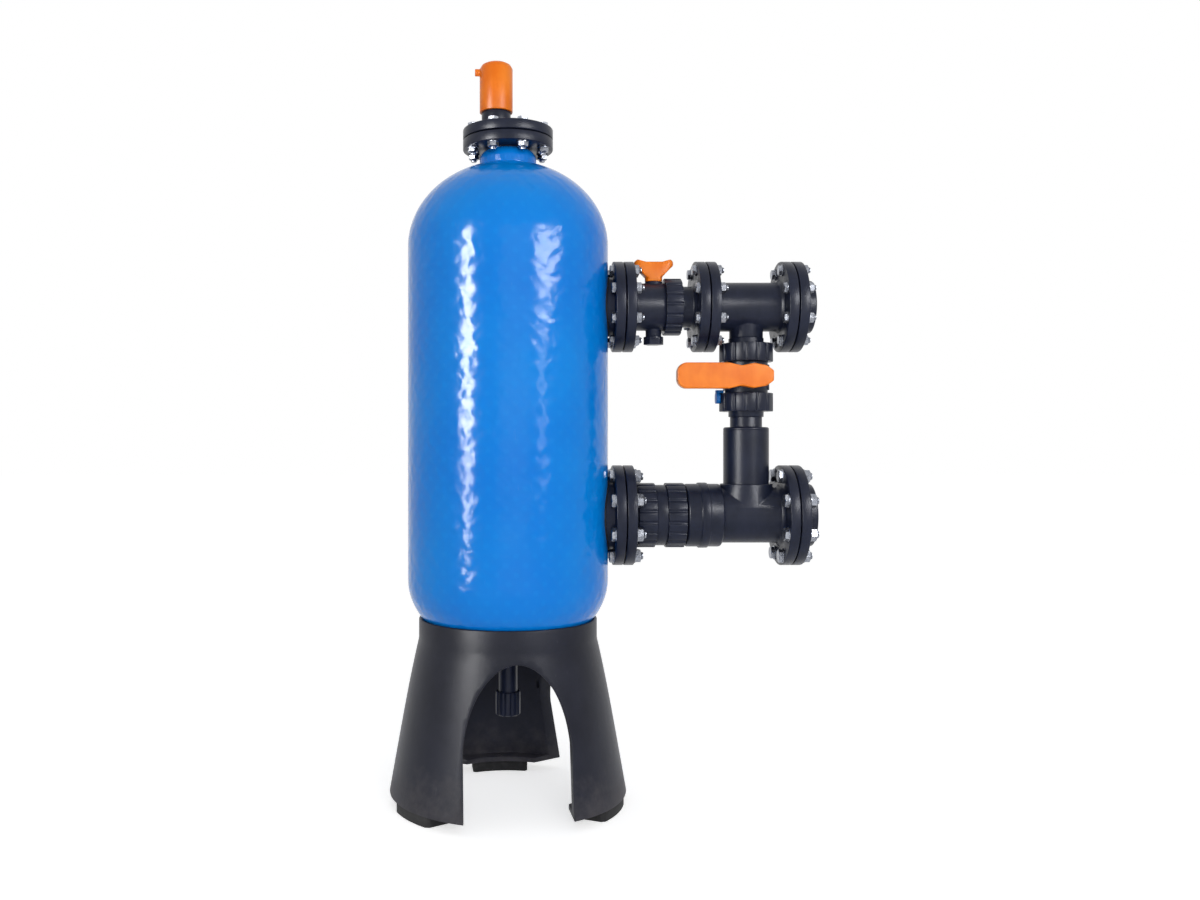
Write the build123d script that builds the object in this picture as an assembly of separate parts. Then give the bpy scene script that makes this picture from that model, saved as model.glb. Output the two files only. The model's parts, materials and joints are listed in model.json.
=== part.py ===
"""Sand media filter: a composite pressure vessel on a moulded tripod stand, with its top closure,
an inlet line, an outlet line and a bypass between them. Millimetres, +Z up, +X towards the pipework,
origin on the vessel's axis at floor level."""

import os

from build123d import *

# Running and assembly clearances
SLIP = 0.3
SHAFT_GAP = 0.08
GASKET = 3.0

# Pressure vessel
VESSEL_R = 254.0
VESSEL_WALL = 8.0
CYLINDER_LOW = 560.0
CYLINDER_HIGH = 1400.0
DOME_H = 215.0
LOW_DOME_H = 190.0
NECK_R = 72.0
NECK_TOP = 1648.0
NECK_BORE_R = 56.0
NECK_FLARE = 26.0
DRAIN_NECK_R = 48.0
DRAIN_NECK_FACE = 345.0
DRAIN_BORE_R = 24.2

# Tripod stand
STAND_TOP = 462.0
STAND_TOP_R = VESSEL_R - 28.0
STAND_SHOULDER_Z = 412.0
STAND_FOOT_R = STAND_TOP_R + 74.0
STAND_TURN = 5.5
STAND_WALL = 9.0
STAND_DEPTH = 34.0
SEAT_DEPTH = 34.0
LEGS = 3
ARCH_HALF = STAND_TOP_R - 98.0
ARCH_SPRING_Z = 190.0
ARCH_CROWN_Z = 383.0
ARCH_LIP = 11.0
FOOT_H = 26.0
FOOT_WIDTH = 150.0
FOOT_FLANGE = 14.0
FOOT_FLANGE_WIDTH = 78.0
ANCHOR_PCD = 2 * (STAND_FOOT_R - 56.0)
ANCHOR_HOLE_R = 7.0
LEG_RIB = 8.0
LEG_RIB_TURN = 13.0

# Four-inch flanges: closure and inlet line
FLANGE_4_R = 114.5
FLANGE_4_PCD = 190.5
FLANGE_4_HOLE_R = 9.5
FLANGE_4_BORE_R = 50.0
FLANGE_T = 24.0
BOLTS_PER_FLANGE = 8
M16_R = 8.0
M16_ACROSS = 24.0
M16_HEAD = 10.0
M16_NUT = 13.0

# Five-inch flanges: outlet line
FLANGE_5_R = 127.0
FLANGE_5_PCD = 215.9
FLANGE_5_HOLE_R = 11.0
FLANGE_5_BORE_R = 60.0
M20_R = 10.0
M20_ACROSS = 30.0
M20_HEAD = 12.0
M20_NUT = 16.0
BOLT_END = 5.0

# Pipe lines
INLET_Z = 1250.0
OUTLET_Z = 720.0
PORT_FACE_X = VESSEL_R + 36.0
RISER_X = PORT_FACE_X + 317.0
TEE_HALF = 107.0
INLET_RUN_R = 62.0
OUTLET_RUN_R = 70.0
HEADER_PIPE_4_R = 57.15
HEADER_PIPE_5_R = 70.0
HEADER_SOCKET = 48.0
PORT_PIPE_R = 57.15
PORT_PIPE_5_R = 70.0
PORT_HUB_R = 75.0
PORT_HUB_5_R = 88.0
PORT_REACH = VESSEL_R - 49.0
PORT_NUT_T = 28.5
PORT_NUT_RIM = 22.0

# Inlet ball valve
INLET_BALL_X = PORT_FACE_X + 81.0
INLET_BALL_R = 44.0
INLET_BALL_BORE_R = 34.0
INLET_SEAT_REACH = 40.0
INLET_CAVITY_R = 50.0
INLET_BODY_R = 60.0
INLET_BODY_END = PORT_FACE_X + 128.0
INLET_TAIL_COLLAR = 10.0
INLET_TAIL_R = 52.0
INLET_NUT_R = 72.0
INLET_NUT_GRIP = 22.0
INLET_NUT_LIP = 10.0
INLET_STEM_R = 10.0
INLET_BOSS_R = 22.0
INLET_BOSS_TOP = 1314.0
PLUG_BOSS_R = 20.0
PLUG_HEAD_R = 24.0
PLUG_FACE_Z = 1174.0
PLUG_HEAD = 20.0
PLUG_THREAD_R = 10.0
HANDLE_SPAN = 100.0
HANDLE_TOP = 1370.0
HANDLE_BAR = 20.0
HANDLE_HUB_R = 20.0
HANDLE_DEPTH = 34.0
HANDLE_HUB_WIDE = 21.0
HANDLE_SHOULDER_Z = 1334.0

# Bypass true-union ball valve
BYPASS_Z = 1070.0
BYPASS_BALL_R = 40.0
BYPASS_BORE_R = 29.0
BYPASS_SEAT_REACH = 36.0
BYPASS_CAVITY_R = 46.0
BYPASS_BODY_R = 54.0
BYPASS_BODY_HALF = 60.0
BYPASS_COLLAR = 10.0
BYPASS_TAIL_R = 44.0
BYPASS_TAIL_END = 100.0
BYPASS_PIPE_R = 37.5
BYPASS_SOCKET = 22.0
UNION_NUT_R = 67.0
UNION_NUT_START = 40.0
UNION_NUT_END = 86.0
LOCK_WIDTH = 28.0
LOCK_T = 10.0
LOCK_DROP = 12.0
LOCK_ARM_WIDTH = 16.0
LOCK_ARM_T = 8.0
BYPASS_STEM_R = 9.0
BYPASS_BOSS_R = 25.0
BYPASS_BOSS_REACH = 72.0
LEVER_LENGTH = 190.0
LEVER_GRIP = 128.0
LEVER_GRIP_H = 64.0
LEVER_HUB_R = 31.0
LEVER_T = 27.0
LEVER_SHELL = 5.0
LEVER_TAIL = 48.0

# Bypass riser
REDUCER_TOP = 944.0
REDUCER_RIM = 8.0
REDUCER_PLUG = 36.0
REDUCER_NECK_R = 40.0
RISER_R = 57.15
RISER_WALL = 4.65
RISER_FOOT = 755.0
TEE_SOCKET_TOP = 800.0
TEE_SOCKET_R = 66.0
GUSSET_T = 12.0

# Check valve on the outlet line
CHECK_NUT_1_X = PORT_FACE_X + 36.0
CHECK_NUT_2_X = PORT_FACE_X + 110.0
CHECK_NUT_LENGTH = 46.0
CHECK_NUT_R = 82.0
CHECK_LIP = 8.0
CHECK_NECK_R = 66.0
CHECK_COLLAR_R = 70.0
CHECK_COLLAR = 10.0
CHECK_BODY_R = 74.0
CHECK_BAND_R = 77.0
CHECK_BORE_R = 62.0
CHECK_END_BORE_R = 58.0
CHECK_SEAT_R = 46.0
CHECK_SEAT_T = 8.0
CHECK_SEAT_X = PORT_FACE_X + 60.0
FLAP_R = 52.0
FLAP_T = 8.0
FLAP_PIVOT_X = PORT_FACE_X + 82.0
FLAP_PIVOT_UP = 54.0
FLAP_PIN_R = 3.0
FLAP_KNUCKLE_R = 6.0
FLAP_KNUCKLE_W = 24.0
FLAP_PIN_HALF = 39.0
COUPLING_R = 80.0
COUPLING_X = PORT_FACE_X + 159.0
COUPLING_LENGTH = 90.0
COUPLING_BAND = 22.0

# Top closure and air valve
CLOSURE_SPIGOT = 44.0
CLOSURE_BORE_R = 46.0
LID_BOSS_R = 27.0
LID_BOSS = 10.0
AIR_X = -30.0
AIR_THREAD_R = 12.0
AIR_BASE_R = 37.0
AIR_BASE_H = 36.0
AIR_SPIGOT_R = 35.0
AIR_SPIGOT = 12.0
AIR_BODY_R = 42.0
AIR_BODY_H = 124.0
AIR_ROOF = 34.0
AIR_CROWN = 14.0
AIR_FLOAT_R = 31.0
AIR_FLOAT_H = 55.0
AIR_TRAVEL = 15.0
AIR_SEAT_R = 14.0
AIR_SEAT_T = 7.0
AIR_ORIFICE_R = 4.0
VENT_R = 9.0
VENT_REACH = 54.0
VENT_UP = 103.0

# Drain under the vessel
DRAIN_PIPE_R = 24.0
DRAIN_PIPE_BORE_R = 18.0
DRAIN_PIPE_LOW = 236.0
DRAIN_PIPE_HIGH = DRAIN_NECK_FACE + 33.0
DRAIN_CAP_R = 32.0
DRAIN_CAP_LOW = 212.0
DRAIN_CAP_H = 60.0
DRAIN_CAP_FLOOR = 12.0

# Inside the vessel
INLET_PIPE_R = 49.7
INLET_PIPE_BORE_R = 44.0
INLET_BEND_R = 85.0
INLET_PIPE_TOP = 1372.0
DIFFUSER_R = 110.0
DIFFUSER_H = 60.0
DIFFUSER_POSTS = 4
OUTLET_PIPE_R = 59.7
OUTLET_PIPE_BORE_R = 52.0
OUTLET_BEND_R = 95.0
PIPE_INSERT = 25.0
HUB_R = 76.0
HUB_LOW = 468.0
HUB_TOP = 562.0
OUTLET_PIPE_LOW = HUB_TOP - 17.0
HUB_FLOOR = 10.0
HUB_WALL = 16.0
LATERALS = 8
LATERAL_Z = 500.0
LATERAL_R = 16.0
LATERAL_BORE_R = 12.0
LATERAL_START = 66.0
LATERAL_END = VESSEL_R - 36.0
LATERAL_SLITS = 4
SLIT_WIDTH = 3.0
GRAVEL_TOP = HUB_TOP + 38.0
SAND_TOP = 1110.0

# Places worked out from the sizes above
PORT_BACK_X = PORT_FACE_X - FLANGE_T
VALVE_FACE_X = PORT_FACE_X + GASKET
TEE_LEFT_X = RISER_X - TEE_HALF
TEE_RIGHT_X = RISER_X + TEE_HALF
TAIL_FACE_X = TEE_LEFT_X - GASKET
HEADER_FACE_X = TEE_RIGHT_X + GASKET
FLANGE_PAIR = 2 * FLANGE_T + GASKET
LID_Z = NECK_TOP + FLANGE_T + GASKET
LID_TOP = LID_Z + FLANGE_T
AIR_Z = LID_TOP + LID_BOSS
AIR_JOINT_Z = AIR_Z + AIR_BASE_H


def turned(points):
    """Solid turned about Z from (radius, height) corners."""
    outline = make_face(Polyline(*points, close=True))
    return revolve(Plane.XZ * outline, Axis.Z, 360)


def turned_along_x(points, axis_z):
    """Solid turned about a line along X at axis_z, from (x, radius) corners."""
    outline = make_face(Polyline(*points, close=True))
    spindle = Axis((0, 0, axis_z), (1, 0, 0))
    return revolve(Plane.XZ * Pos(0, axis_z) * outline, spindle, 360)


def ring(outer_r, inner_r, low, high):
    """Plain ring about Z."""
    return turned([(inner_r, low), (outer_r, low), (outer_r, high), (inner_r, high)])


def rod(radius, low, high):
    """Plain round bar about Z."""
    return Pos(0, 0, low) * Cylinder(radius, high - low, align=(Align.CENTER, Align.CENTER, Align.MIN))


def rod_along_x(radius, x_low, x_high, axis_z):
    """Plain round bar along X."""
    return Pos(0, 0, axis_z) * Rot(0, 90, 0) * rod(radius, x_low, x_high)


def rod_towards_viewer(radius, reach_low, reach_high, x, z):
    """Plain round bar along -Y, from reach_low to reach_high in front of the axis plane."""
    return Pos(x, 0, z) * Rot(90, 0, 0) * rod(radius, reach_low, reach_high)


def joined(shapes):
    """Several separate solids kept in one node."""
    return Compound([solid for shape in shapes for solid in shape.solids()])


def bolt_holes(pcd, hole_r, low, high):
    """Cutters for a flange's bolt holes, straddling the centre line."""
    places = PolarLocations(pcd / 2, BOLTS_PER_FLANGE, 180 / BOLTS_PER_FLANGE)
    return [place * rod(hole_r, low, high) for place in places]


def along_x(shape, x, z):
    """Turns a piece built about Z so that it runs along +X from x."""
    return Pos(x, 0, z) * Rot(0, 90, 0) * shape


def drilled_4(body, x, z):
    """Cuts the four-inch bolt holes through the flange that starts at x."""
    holes = bolt_holes(FLANGE_4_PCD, FLANGE_4_HOLE_R, 0, FLANGE_T)
    return body - [along_x(hole, x, z) for hole in holes]


def drilled_5(body, x, z):
    """Cuts the five-inch bolt holes through the flange that starts at x."""
    holes = bolt_holes(FLANGE_5_PCD, FLANGE_5_HOLE_R, 0, FLANGE_T)
    return body - [along_x(hole, x, z) for hole in holes]


def vessel_form(grow):
    """Cylinder with two semi-ellipsoid domes, grown by an amount all round."""
    r = VESSEL_R + grow
    h = DOME_H + grow
    low_h = LOW_DOME_H + grow
    low_dome = EllipticalCenterArc((0, CYLINDER_LOW), r, low_h, start_angle=270, arc_size=90)
    high_dome = EllipticalCenterArc((0, CYLINDER_HIGH), r, h, start_angle=0, arc_size=90)
    side = Line((r, CYLINDER_LOW), (r, CYLINDER_HIGH))
    axis = Line((0, CYLINDER_HIGH + h), (0, CYLINDER_LOW - low_h))
    outline = make_face([low_dome, side, high_dome, axis])
    return revolve(Plane.XZ * outline, Axis.Z, 360)


def tank_shell():
    """Wound composite vessel: closed shell with a top neck, a drain neck and two side ports."""
    neck = rod(NECK_R, CYLINDER_HIGH + DOME_H / 2, NECK_TOP)
    outside = vessel_form(0) + neck
    root = outside.edges().filter_by(GeomType.CIRCLE).filter_by(lambda e: abs(e.radius - NECK_R) < 1)
    root = root.sort_by(Axis.Z)[0]
    outside = fillet(root, NECK_FLARE)
    outside += rod(DRAIN_NECK_R, DRAIN_NECK_FACE, CYLINDER_LOW - LOW_DOME_H / 2)
    inside = vessel_form(-VESSEL_WALL)
    shell = outside - inside
    shell -= rod(NECK_BORE_R, CYLINDER_HIGH, NECK_TOP)
    shell -= rod(DRAIN_BORE_R, DRAIN_NECK_FACE, CYLINDER_LOW)
    shell -= rod_along_x(PORT_PIPE_R + SLIP, 0, VESSEL_R + 1, INLET_Z)
    shell -= rod_along_x(PORT_PIPE_5_R + SLIP, 0, VESSEL_R + 1, OUTLET_Z)
    return shell


def stand_skin(inset):
    """The stand's outside line, moved in by an inset: a plain collar, then a bell-shaped flare."""
    top = (STAND_TOP_R - inset, STAND_TOP)
    shoulder = (STAND_TOP_R - inset, STAND_SHOULDER_Z)
    upper = (STAND_TOP_R + 26 - inset, STAND_SHOULDER_Z - 112)
    lower = (STAND_FOOT_R - 32 - inset, STAND_SHOULDER_Z / 2)
    foot = (STAND_FOOT_R - inset, FOOT_H)
    return [Line(top, shoulder), Bezier(shoulder, upper, lower, foot)]


def stand_layer(start, depth):
    """Turned layer of the stand, from one inset of its outside line to a deeper one."""
    outer = stand_skin(start)
    inner = stand_skin(depth)
    top = Line((STAND_TOP_R - depth, STAND_TOP), (STAND_TOP_R - start, STAND_TOP))
    sole = Line((STAND_FOOT_R - start, FOOT_H), (STAND_FOOT_R - depth, FOOT_H))
    return revolve(Plane.XZ * make_face([*outer, sole, *inner, top]), Axis.Z, 360)


def arch_cutter(grow):
    """Opening between two legs: upright sides under a rounded, slightly pointed head."""
    half = ARCH_HALF + grow
    crown = (0, ARCH_CROWN_Z + grow)
    pull = ARCH_HALF * 0.46
    lift = ARCH_SPRING_Z + (ARCH_CROWN_Z - ARCH_SPRING_Z) * 0.57
    left = Bezier((-half, ARCH_SPRING_Z), (10 - half, lift), (-pull, crown[1]), crown)
    right = Bezier(crown, (pull, crown[1]), (half - 10, lift), (half, ARCH_SPRING_Z))
    sides = Polyline((half, ARCH_SPRING_Z), (half, 0), (-half, 0), (-half, ARCH_SPRING_Z))
    return extrude(Plane.XZ * make_face([left, right, sides]), STAND_FOOT_R + STAND_DEPTH)


def around_legs(shape):
    """The same piece once for each leg."""
    return [Rot(0, 0, STAND_TURN + 360 / LEGS * n) * shape for n in range(LEGS)]


def leg_rib_blades():
    """Upright blades where each leg keeps its two stiffening ribs."""
    blade = Pos(0, STAND_FOOT_R / 2, 0) * Box(
        LEG_RIB, STAND_FOOT_R, STAND_TOP, align=(Align.CENTER, Align.CENTER, Align.MIN)
    )
    pair = [Rot(0, 0, turn) * blade for turn in (LEG_RIB_TURN, -LEG_RIB_TURN)]
    return [one for blade in pair for one in around_legs(blade)]


def stand_pockets():
    """Hollow of each double-walled leg, open at the sole and crossed by two ribs."""
    hollow = stand_layer(STAND_WALL, STAND_DEPTH - STAND_WALL)
    hollow &= rod(STAND_FOOT_R, 0, STAND_TOP - SEAT_DEPTH)
    return hollow - around_legs(arch_cutter(ARCH_LIP)) - leg_rib_blades()


def anchor_places():
    """Where the floor anchors pass, one at the middle of each foot."""
    return PolarLocations(ANCHOR_PCD / 2, LEGS, 90 + STAND_TURN)


def stand():
    """Moulded tripod: three double-walled legs under a collar that is dished to seat the vessel."""
    body = stand_layer(0, STAND_DEPTH)
    inner_r = STAND_FOOT_R - FOOT_FLANGE_WIDTH
    body += ring(STAND_FOOT_R - STAND_DEPTH + STAND_WALL / 2, inner_r, FOOT_H, FOOT_H + FOOT_FLANGE)
    body -= around_legs(arch_cutter(0))
    body -= stand_pockets()
    body -= vessel_form(SLIP)
    return body - [place * rod(ANCHOR_HOLE_R, FOOT_H, FOOT_H + FOOT_FLANGE) for place in anchor_places()]


def stand_feet():
    """Rubber foot under the middle of each leg, with a hole for its floor anchor."""
    pad = ring(STAND_FOOT_R - 5, STAND_FOOT_R - FOOT_FLANGE_WIDTH + 4, 0, FOOT_H)
    pad &= Pos(0, STAND_FOOT_R / 2, 0) * Box(FOOT_WIDTH, STAND_FOOT_R, 2 * FOOT_H)
    pad = chamfer(pad.edges().filter_by(Axis.Z), 8)
    feet = around_legs(pad)
    return joined([foot - [place * rod(ANCHOR_HOLE_R, 0, FOOT_H) for place in anchor_places()] for foot in feet])


def hex_prism(across, low, high):
    """Hexagonal bar about Z."""
    face = RegularPolygon(across / 2, 6, major_radius=False)
    return Pos(0, 0, low) * extrude(face, high - low)


def bolt(radius, across, head, stack, nut):
    """Hexagon bolt through a stack that starts at Z 0, its head below and its end past the nut."""
    return hex_prism(across, -head, 0) + rod(radius, -head, stack + nut + BOLT_END)


def hex_nut(radius, across, stack, height):
    """Hexagon nut on top of a stack that starts at Z 0."""
    return hex_prism(across, stack, stack + height) - rod(radius, stack, stack + height)


def around_flange(piece, pcd):
    """A fastener at each hole of one flange pair."""
    places = PolarLocations(pcd / 2, BOLTS_PER_FLANGE, 180 / BOLTS_PER_FLANGE)
    return [place * piece for place in places]


def closure_placed(pieces):
    """Fasteners of the closure, heads up on the lid."""
    return [Pos(0, 0, LID_TOP) * Rot(180, 0, 0) * piece for piece in pieces]


def m16_group(piece):
    """A piece at every hole of the closure and of the three flange pairs on the inlet line."""
    pieces = around_flange(piece, FLANGE_4_PCD)
    starts = [PORT_BACK_X, TAIL_FACE_X - FLANGE_T, TEE_RIGHT_X - FLANGE_T]
    placed = closure_placed(pieces)
    for x in starts:
        placed += [along_x(one, x, INLET_Z) for one in pieces]
    return joined(placed)


def m20_group(piece):
    """A piece at every hole of the two flange pairs on the outlet line."""
    pieces = around_flange(piece, FLANGE_5_PCD)
    starts = [PORT_BACK_X, TEE_RIGHT_X - FLANGE_T]
    return joined([along_x(one, x, OUTLET_Z) for x in starts for one in pieces])


def gasket(outer_r, inner_r):
    """Flat ring gasket inside a bolt circle."""
    return ring(outer_r, inner_r, 0, GASKET)


def gaskets_4():
    """Gaskets of the closure and of the inlet line's three flange pairs."""
    one = gasket(FLANGE_4_PCD / 2 - FLANGE_4_HOLE_R - 2, FLANGE_4_BORE_R)
    on_line = [along_x(one, x, INLET_Z) for x in (PORT_FACE_X, TAIL_FACE_X, TEE_RIGHT_X)]
    return joined([Pos(0, 0, LID_Z - GASKET) * one, *on_line])


def gaskets_5():
    """Gaskets of the outlet line's two flange pairs."""
    one = gasket(FLANGE_5_PCD / 2 - FLANGE_5_HOLE_R - 2, FLANGE_5_BORE_R)
    return joined([along_x(one, x, OUTLET_Z) for x in (PORT_FACE_X, TEE_RIGHT_X)])


def closure_flange():
    """Flange on the vessel's neck, with a spigot screwed into the neck's bore."""
    spigot_low = NECK_TOP - CLOSURE_SPIGOT
    body = turned(
        [
            (CLOSURE_BORE_R, spigot_low),
            (NECK_BORE_R - SLIP, spigot_low),
            (NECK_BORE_R - SLIP, NECK_TOP),
            (FLANGE_4_R, NECK_TOP),
            (FLANGE_4_R, NECK_TOP + FLANGE_T),
            (CLOSURE_BORE_R, NECK_TOP + FLANGE_T),
        ]
    )
    return body - bolt_holes(FLANGE_4_PCD, FLANGE_4_HOLE_R, NECK_TOP, LID_TOP)


def lid():
    """Blind lid with a tapped boss for the air valve."""
    body = rod(FLANGE_4_R, LID_Z, LID_TOP) + Pos(AIR_X, 0, 0) * rod(LID_BOSS_R, LID_Z, AIR_Z)
    body -= Pos(AIR_X, 0, 0) * rod(AIR_THREAD_R, LID_Z, AIR_Z)
    return body - bolt_holes(FLANGE_4_PCD, FLANGE_4_HOLE_R, LID_Z, LID_TOP)


def air_valve_base():
    """Screwed base of the air valve, open up its middle."""
    floor_z = AIR_JOINT_Z + AIR_SPIGOT
    body = turned(
        [
            (AIR_THREAD_R / 2, LID_Z + FLANGE_T / 2),
            (AIR_THREAD_R - SHAFT_GAP, LID_Z + FLANGE_T / 2),
            (AIR_THREAD_R - SHAFT_GAP, AIR_Z),
            (AIR_BASE_R - 6, AIR_Z),
            (AIR_BASE_R, AIR_Z + 8),
            (AIR_BASE_R, AIR_JOINT_Z),
            (AIR_SPIGOT_R - SHAFT_GAP, AIR_JOINT_Z),
            (AIR_SPIGOT_R - SHAFT_GAP, floor_z),
            (AIR_THREAD_R / 2, floor_z),
        ]
    )
    return Pos(AIR_X, 0, 0) * body


def air_valve_body():
    """Float housing with a domed crown, an orifice in its roof and a side vent."""
    top = AIR_JOINT_Z + AIR_BODY_H
    roof = top - AIR_ROOF
    body = turned(
        [
            (0, AIR_JOINT_Z),
            (AIR_BODY_R, AIR_JOINT_Z),
            (AIR_BODY_R, top - AIR_CROWN),
            (AIR_BODY_R - 5, top - AIR_CROWN / 3),
            (AIR_BODY_R - AIR_CROWN, top),
            (0, top),
        ]
    )
    vent_z = AIR_JOINT_Z + VENT_UP
    body += rod_along_x(VENT_R, -VENT_REACH, 0, vent_z)
    body -= rod(AIR_SPIGOT_R, AIR_JOINT_Z, roof)
    body -= rod(AIR_ORIFICE_R, roof, vent_z)
    body -= rod_along_x(AIR_ORIFICE_R, -VENT_REACH, 0, vent_z)
    return Pos(AIR_X, 0, 0) * body


def air_valve_seat():
    """Rubber orifice seat under the float housing's roof."""
    roof = AIR_JOINT_Z + AIR_BODY_H - AIR_ROOF
    return Pos(AIR_X, 0, 0) * ring(AIR_SEAT_R, AIR_ORIFICE_R, roof - AIR_SEAT_T, roof)


def air_valve_float():
    """Float that rises on water and shuts the orifice."""
    high = AIR_JOINT_Z + AIR_BODY_H - AIR_ROOF - AIR_SEAT_T - SLIP - AIR_TRAVEL
    body = rod(AIR_FLOAT_R, high - AIR_FLOAT_H, high)
    return Pos(AIR_X, 0, 0) * chamfer(body.edges().filter_by(GeomType.CIRCLE), 6)


def drain_nipple():
    """Threaded pipe nipple in the vessel's bottom neck."""
    return ring(DRAIN_PIPE_R, DRAIN_PIPE_BORE_R, DRAIN_PIPE_LOW, DRAIN_PIPE_HIGH)


def ribbed(body, radius, count, depth, low, high):
    """Cuts shallow grip flutes round a turned piece."""
    flute = rod(depth, low, high)
    return body - [place * flute for place in PolarLocations(radius + depth / 3, count)]


def drain_cap():
    """Fluted screw cap on the drain nipple."""
    top = DRAIN_CAP_LOW + DRAIN_CAP_H
    body = rod(DRAIN_CAP_R, DRAIN_CAP_LOW, top)
    body = chamfer(body.edges().filter_by(GeomType.CIRCLE).sort_by(Axis.Z)[0], 4)
    body -= rod(DRAIN_BORE_R, DRAIN_CAP_LOW + DRAIN_CAP_FLOOR, top)
    return ribbed(body, DRAIN_CAP_R, 10, 5, DRAIN_CAP_LOW, top)


def port_fitting(pipe_r, bore_r, hub_r, flange_r, axis_z):
    """Tank port: a spigot through the vessel's wall, a saddle hub against it and a flange."""
    body = turned_along_x(
        [
            (PORT_REACH, bore_r),
            (PORT_REACH, pipe_r),
            (VESSEL_R / 2 + PORT_REACH / 2, pipe_r),
            (VESSEL_R / 2 + PORT_REACH / 2, hub_r),
            (PORT_BACK_X, hub_r),
            (PORT_BACK_X, flange_r),
            (PORT_FACE_X, flange_r),
            (PORT_FACE_X, bore_r),
        ],
        axis_z,
    )
    saddle = rod(VESSEL_R + GASKET, axis_z - flange_r, axis_z + flange_r)
    spigot = rod_along_x(pipe_r, 0, VESSEL_R + GASKET, axis_z)
    return body - (saddle - spigot)


def inlet_port():
    """Four-inch port fitting high on the vessel's side."""
    body = port_fitting(PORT_PIPE_R, FLANGE_4_BORE_R, PORT_HUB_R, FLANGE_4_R, INLET_Z)
    return drilled_4(body, PORT_BACK_X, INLET_Z)


def outlet_port():
    """Five-inch port fitting low on the vessel's side."""
    body = port_fitting(PORT_PIPE_5_R, FLANGE_5_BORE_R, PORT_HUB_5_R, FLANGE_5_R, OUTLET_Z)
    return drilled_5(body, PORT_BACK_X, OUTLET_Z)


def saddle_gasket(pipe_r, hub_r, axis_z):
    """Curved rubber gasket between the vessel's wall and a port's saddle."""
    wrap = ring(VESSEL_R + GASKET, VESSEL_R, axis_z - hub_r, axis_z + hub_r)
    collar = rod_along_x(hub_r, 0, VESSEL_R * 2, axis_z) - rod_along_x(pipe_r, 0, VESSEL_R * 2, axis_z)
    return wrap & collar


def port_nut(pipe_r, axis_z):
    """Lock nut inside the vessel, its face cut to the wall, with flats for a spanner."""
    wall_r = VESSEL_R - VESSEL_WALL
    rim = pipe_r + PORT_NUT_RIM
    inner_x = wall_r - PORT_NUT_T
    block = along_x(hex_prism(2 * rim, inner_x, VESSEL_R), 0, axis_z)
    block &= rod(wall_r, axis_z - 2 * rim, axis_z + 2 * rim)
    return block - rod_along_x(pipe_r, 0, VESSEL_R, axis_z)


def ball_seats(ball_r, bore_r, outer_r, reach):
    """Two seat rings about Z that cup a ball at the origin."""
    cup = Sphere(ball_r + SLIP)
    inner = ball_r / 2
    high = ring(outer_r, bore_r, inner, reach) - cup
    low = ring(outer_r, bore_r, -reach, -inner) - cup
    return [low, high]


def inlet_valve_body():
    """Flanged body of the inlet ball valve, with a stem boss above and a plug boss below."""
    seat_x = INLET_BALL_X - INLET_SEAT_REACH
    flange_end = VALVE_FACE_X + FLANGE_T
    body = turned_along_x(
        [
            (VALVE_FACE_X, FLANGE_4_BORE_R),
            (VALVE_FACE_X, FLANGE_4_R),
            (flange_end, FLANGE_4_R),
            (flange_end, INLET_BODY_R + 8),
            (flange_end + 8, INLET_BODY_R),
            (INLET_BODY_END, INLET_BODY_R),
            (INLET_BODY_END, INLET_CAVITY_R),
            (seat_x, INLET_CAVITY_R),
            (seat_x, INLET_BALL_BORE_R),
            (flange_end - 4, INLET_BALL_BORE_R),
            (flange_end - 14, FLANGE_4_BORE_R),
        ],
        INLET_Z,
    )
    boss = rod(INLET_BOSS_R, INLET_Z + INLET_CAVITY_R, INLET_BOSS_TOP)
    foot = rod(PLUG_BOSS_R, PLUG_FACE_Z, INLET_Z - INLET_CAVITY_R)
    hole = rod(INLET_STEM_R + SHAFT_GAP, INLET_Z, INLET_BOSS_TOP)
    tapping = rod(PLUG_THREAD_R + SHAFT_GAP, PLUG_FACE_Z, INLET_Z)
    bosses = (boss + foot) - rod_along_x(INLET_CAVITY_R, -VESSEL_R, VESSEL_R, INLET_Z)
    body += Pos(INLET_BALL_X, 0, 0) * bosses
    body -= Pos(INLET_BALL_X, 0, 0) * (hole + tapping)
    return drilled_4(body, VALVE_FACE_X, INLET_Z)


def inlet_valve_tail():
    """Flanged tail piece of the inlet valve, held by its union nut."""
    stub_x = INLET_BALL_X + INLET_SEAT_REACH
    collar_end = INLET_BODY_END + INLET_TAIL_COLLAR
    flange_x = TAIL_FACE_X - FLANGE_T
    body = turned_along_x(
        [
            (stub_x, INLET_BALL_BORE_R),
            (stub_x, INLET_CAVITY_R - SLIP),
            (INLET_BODY_END, INLET_CAVITY_R - SLIP),
            (INLET_BODY_END, INLET_TAIL_R + 6),
            (collar_end, INLET_TAIL_R + 6),
            (collar_end, INLET_TAIL_R),
            (flange_x - 8, INLET_TAIL_R),
            (flange_x, INLET_TAIL_R + 10),
            (flange_x, FLANGE_4_R),
            (TAIL_FACE_X, FLANGE_4_R),
            (TAIL_FACE_X, FLANGE_4_BORE_R),
            (flange_x + 6, FLANGE_4_BORE_R),
            (collar_end + 8, INLET_BALL_BORE_R),
        ],
        INLET_Z,
    )
    return drilled_4(body, flange_x, INLET_Z)


def inlet_valve_nut():
    """Fluted union nut that pulls the tail piece onto the valve body."""
    start = INLET_BODY_END - INLET_NUT_GRIP
    shoulder = INLET_BODY_END + INLET_TAIL_COLLAR
    length = shoulder + INLET_NUT_LIP - start
    body = ring(INLET_NUT_R, INLET_BODY_R + SLIP, 0, length - INLET_NUT_LIP)
    body += ring(INLET_NUT_R, INLET_TAIL_R + SLIP, length - INLET_NUT_LIP, length)
    body = ribbed(body, INLET_NUT_R, 16, 5, 0, length)
    return along_x(body, start, INLET_Z)


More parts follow.
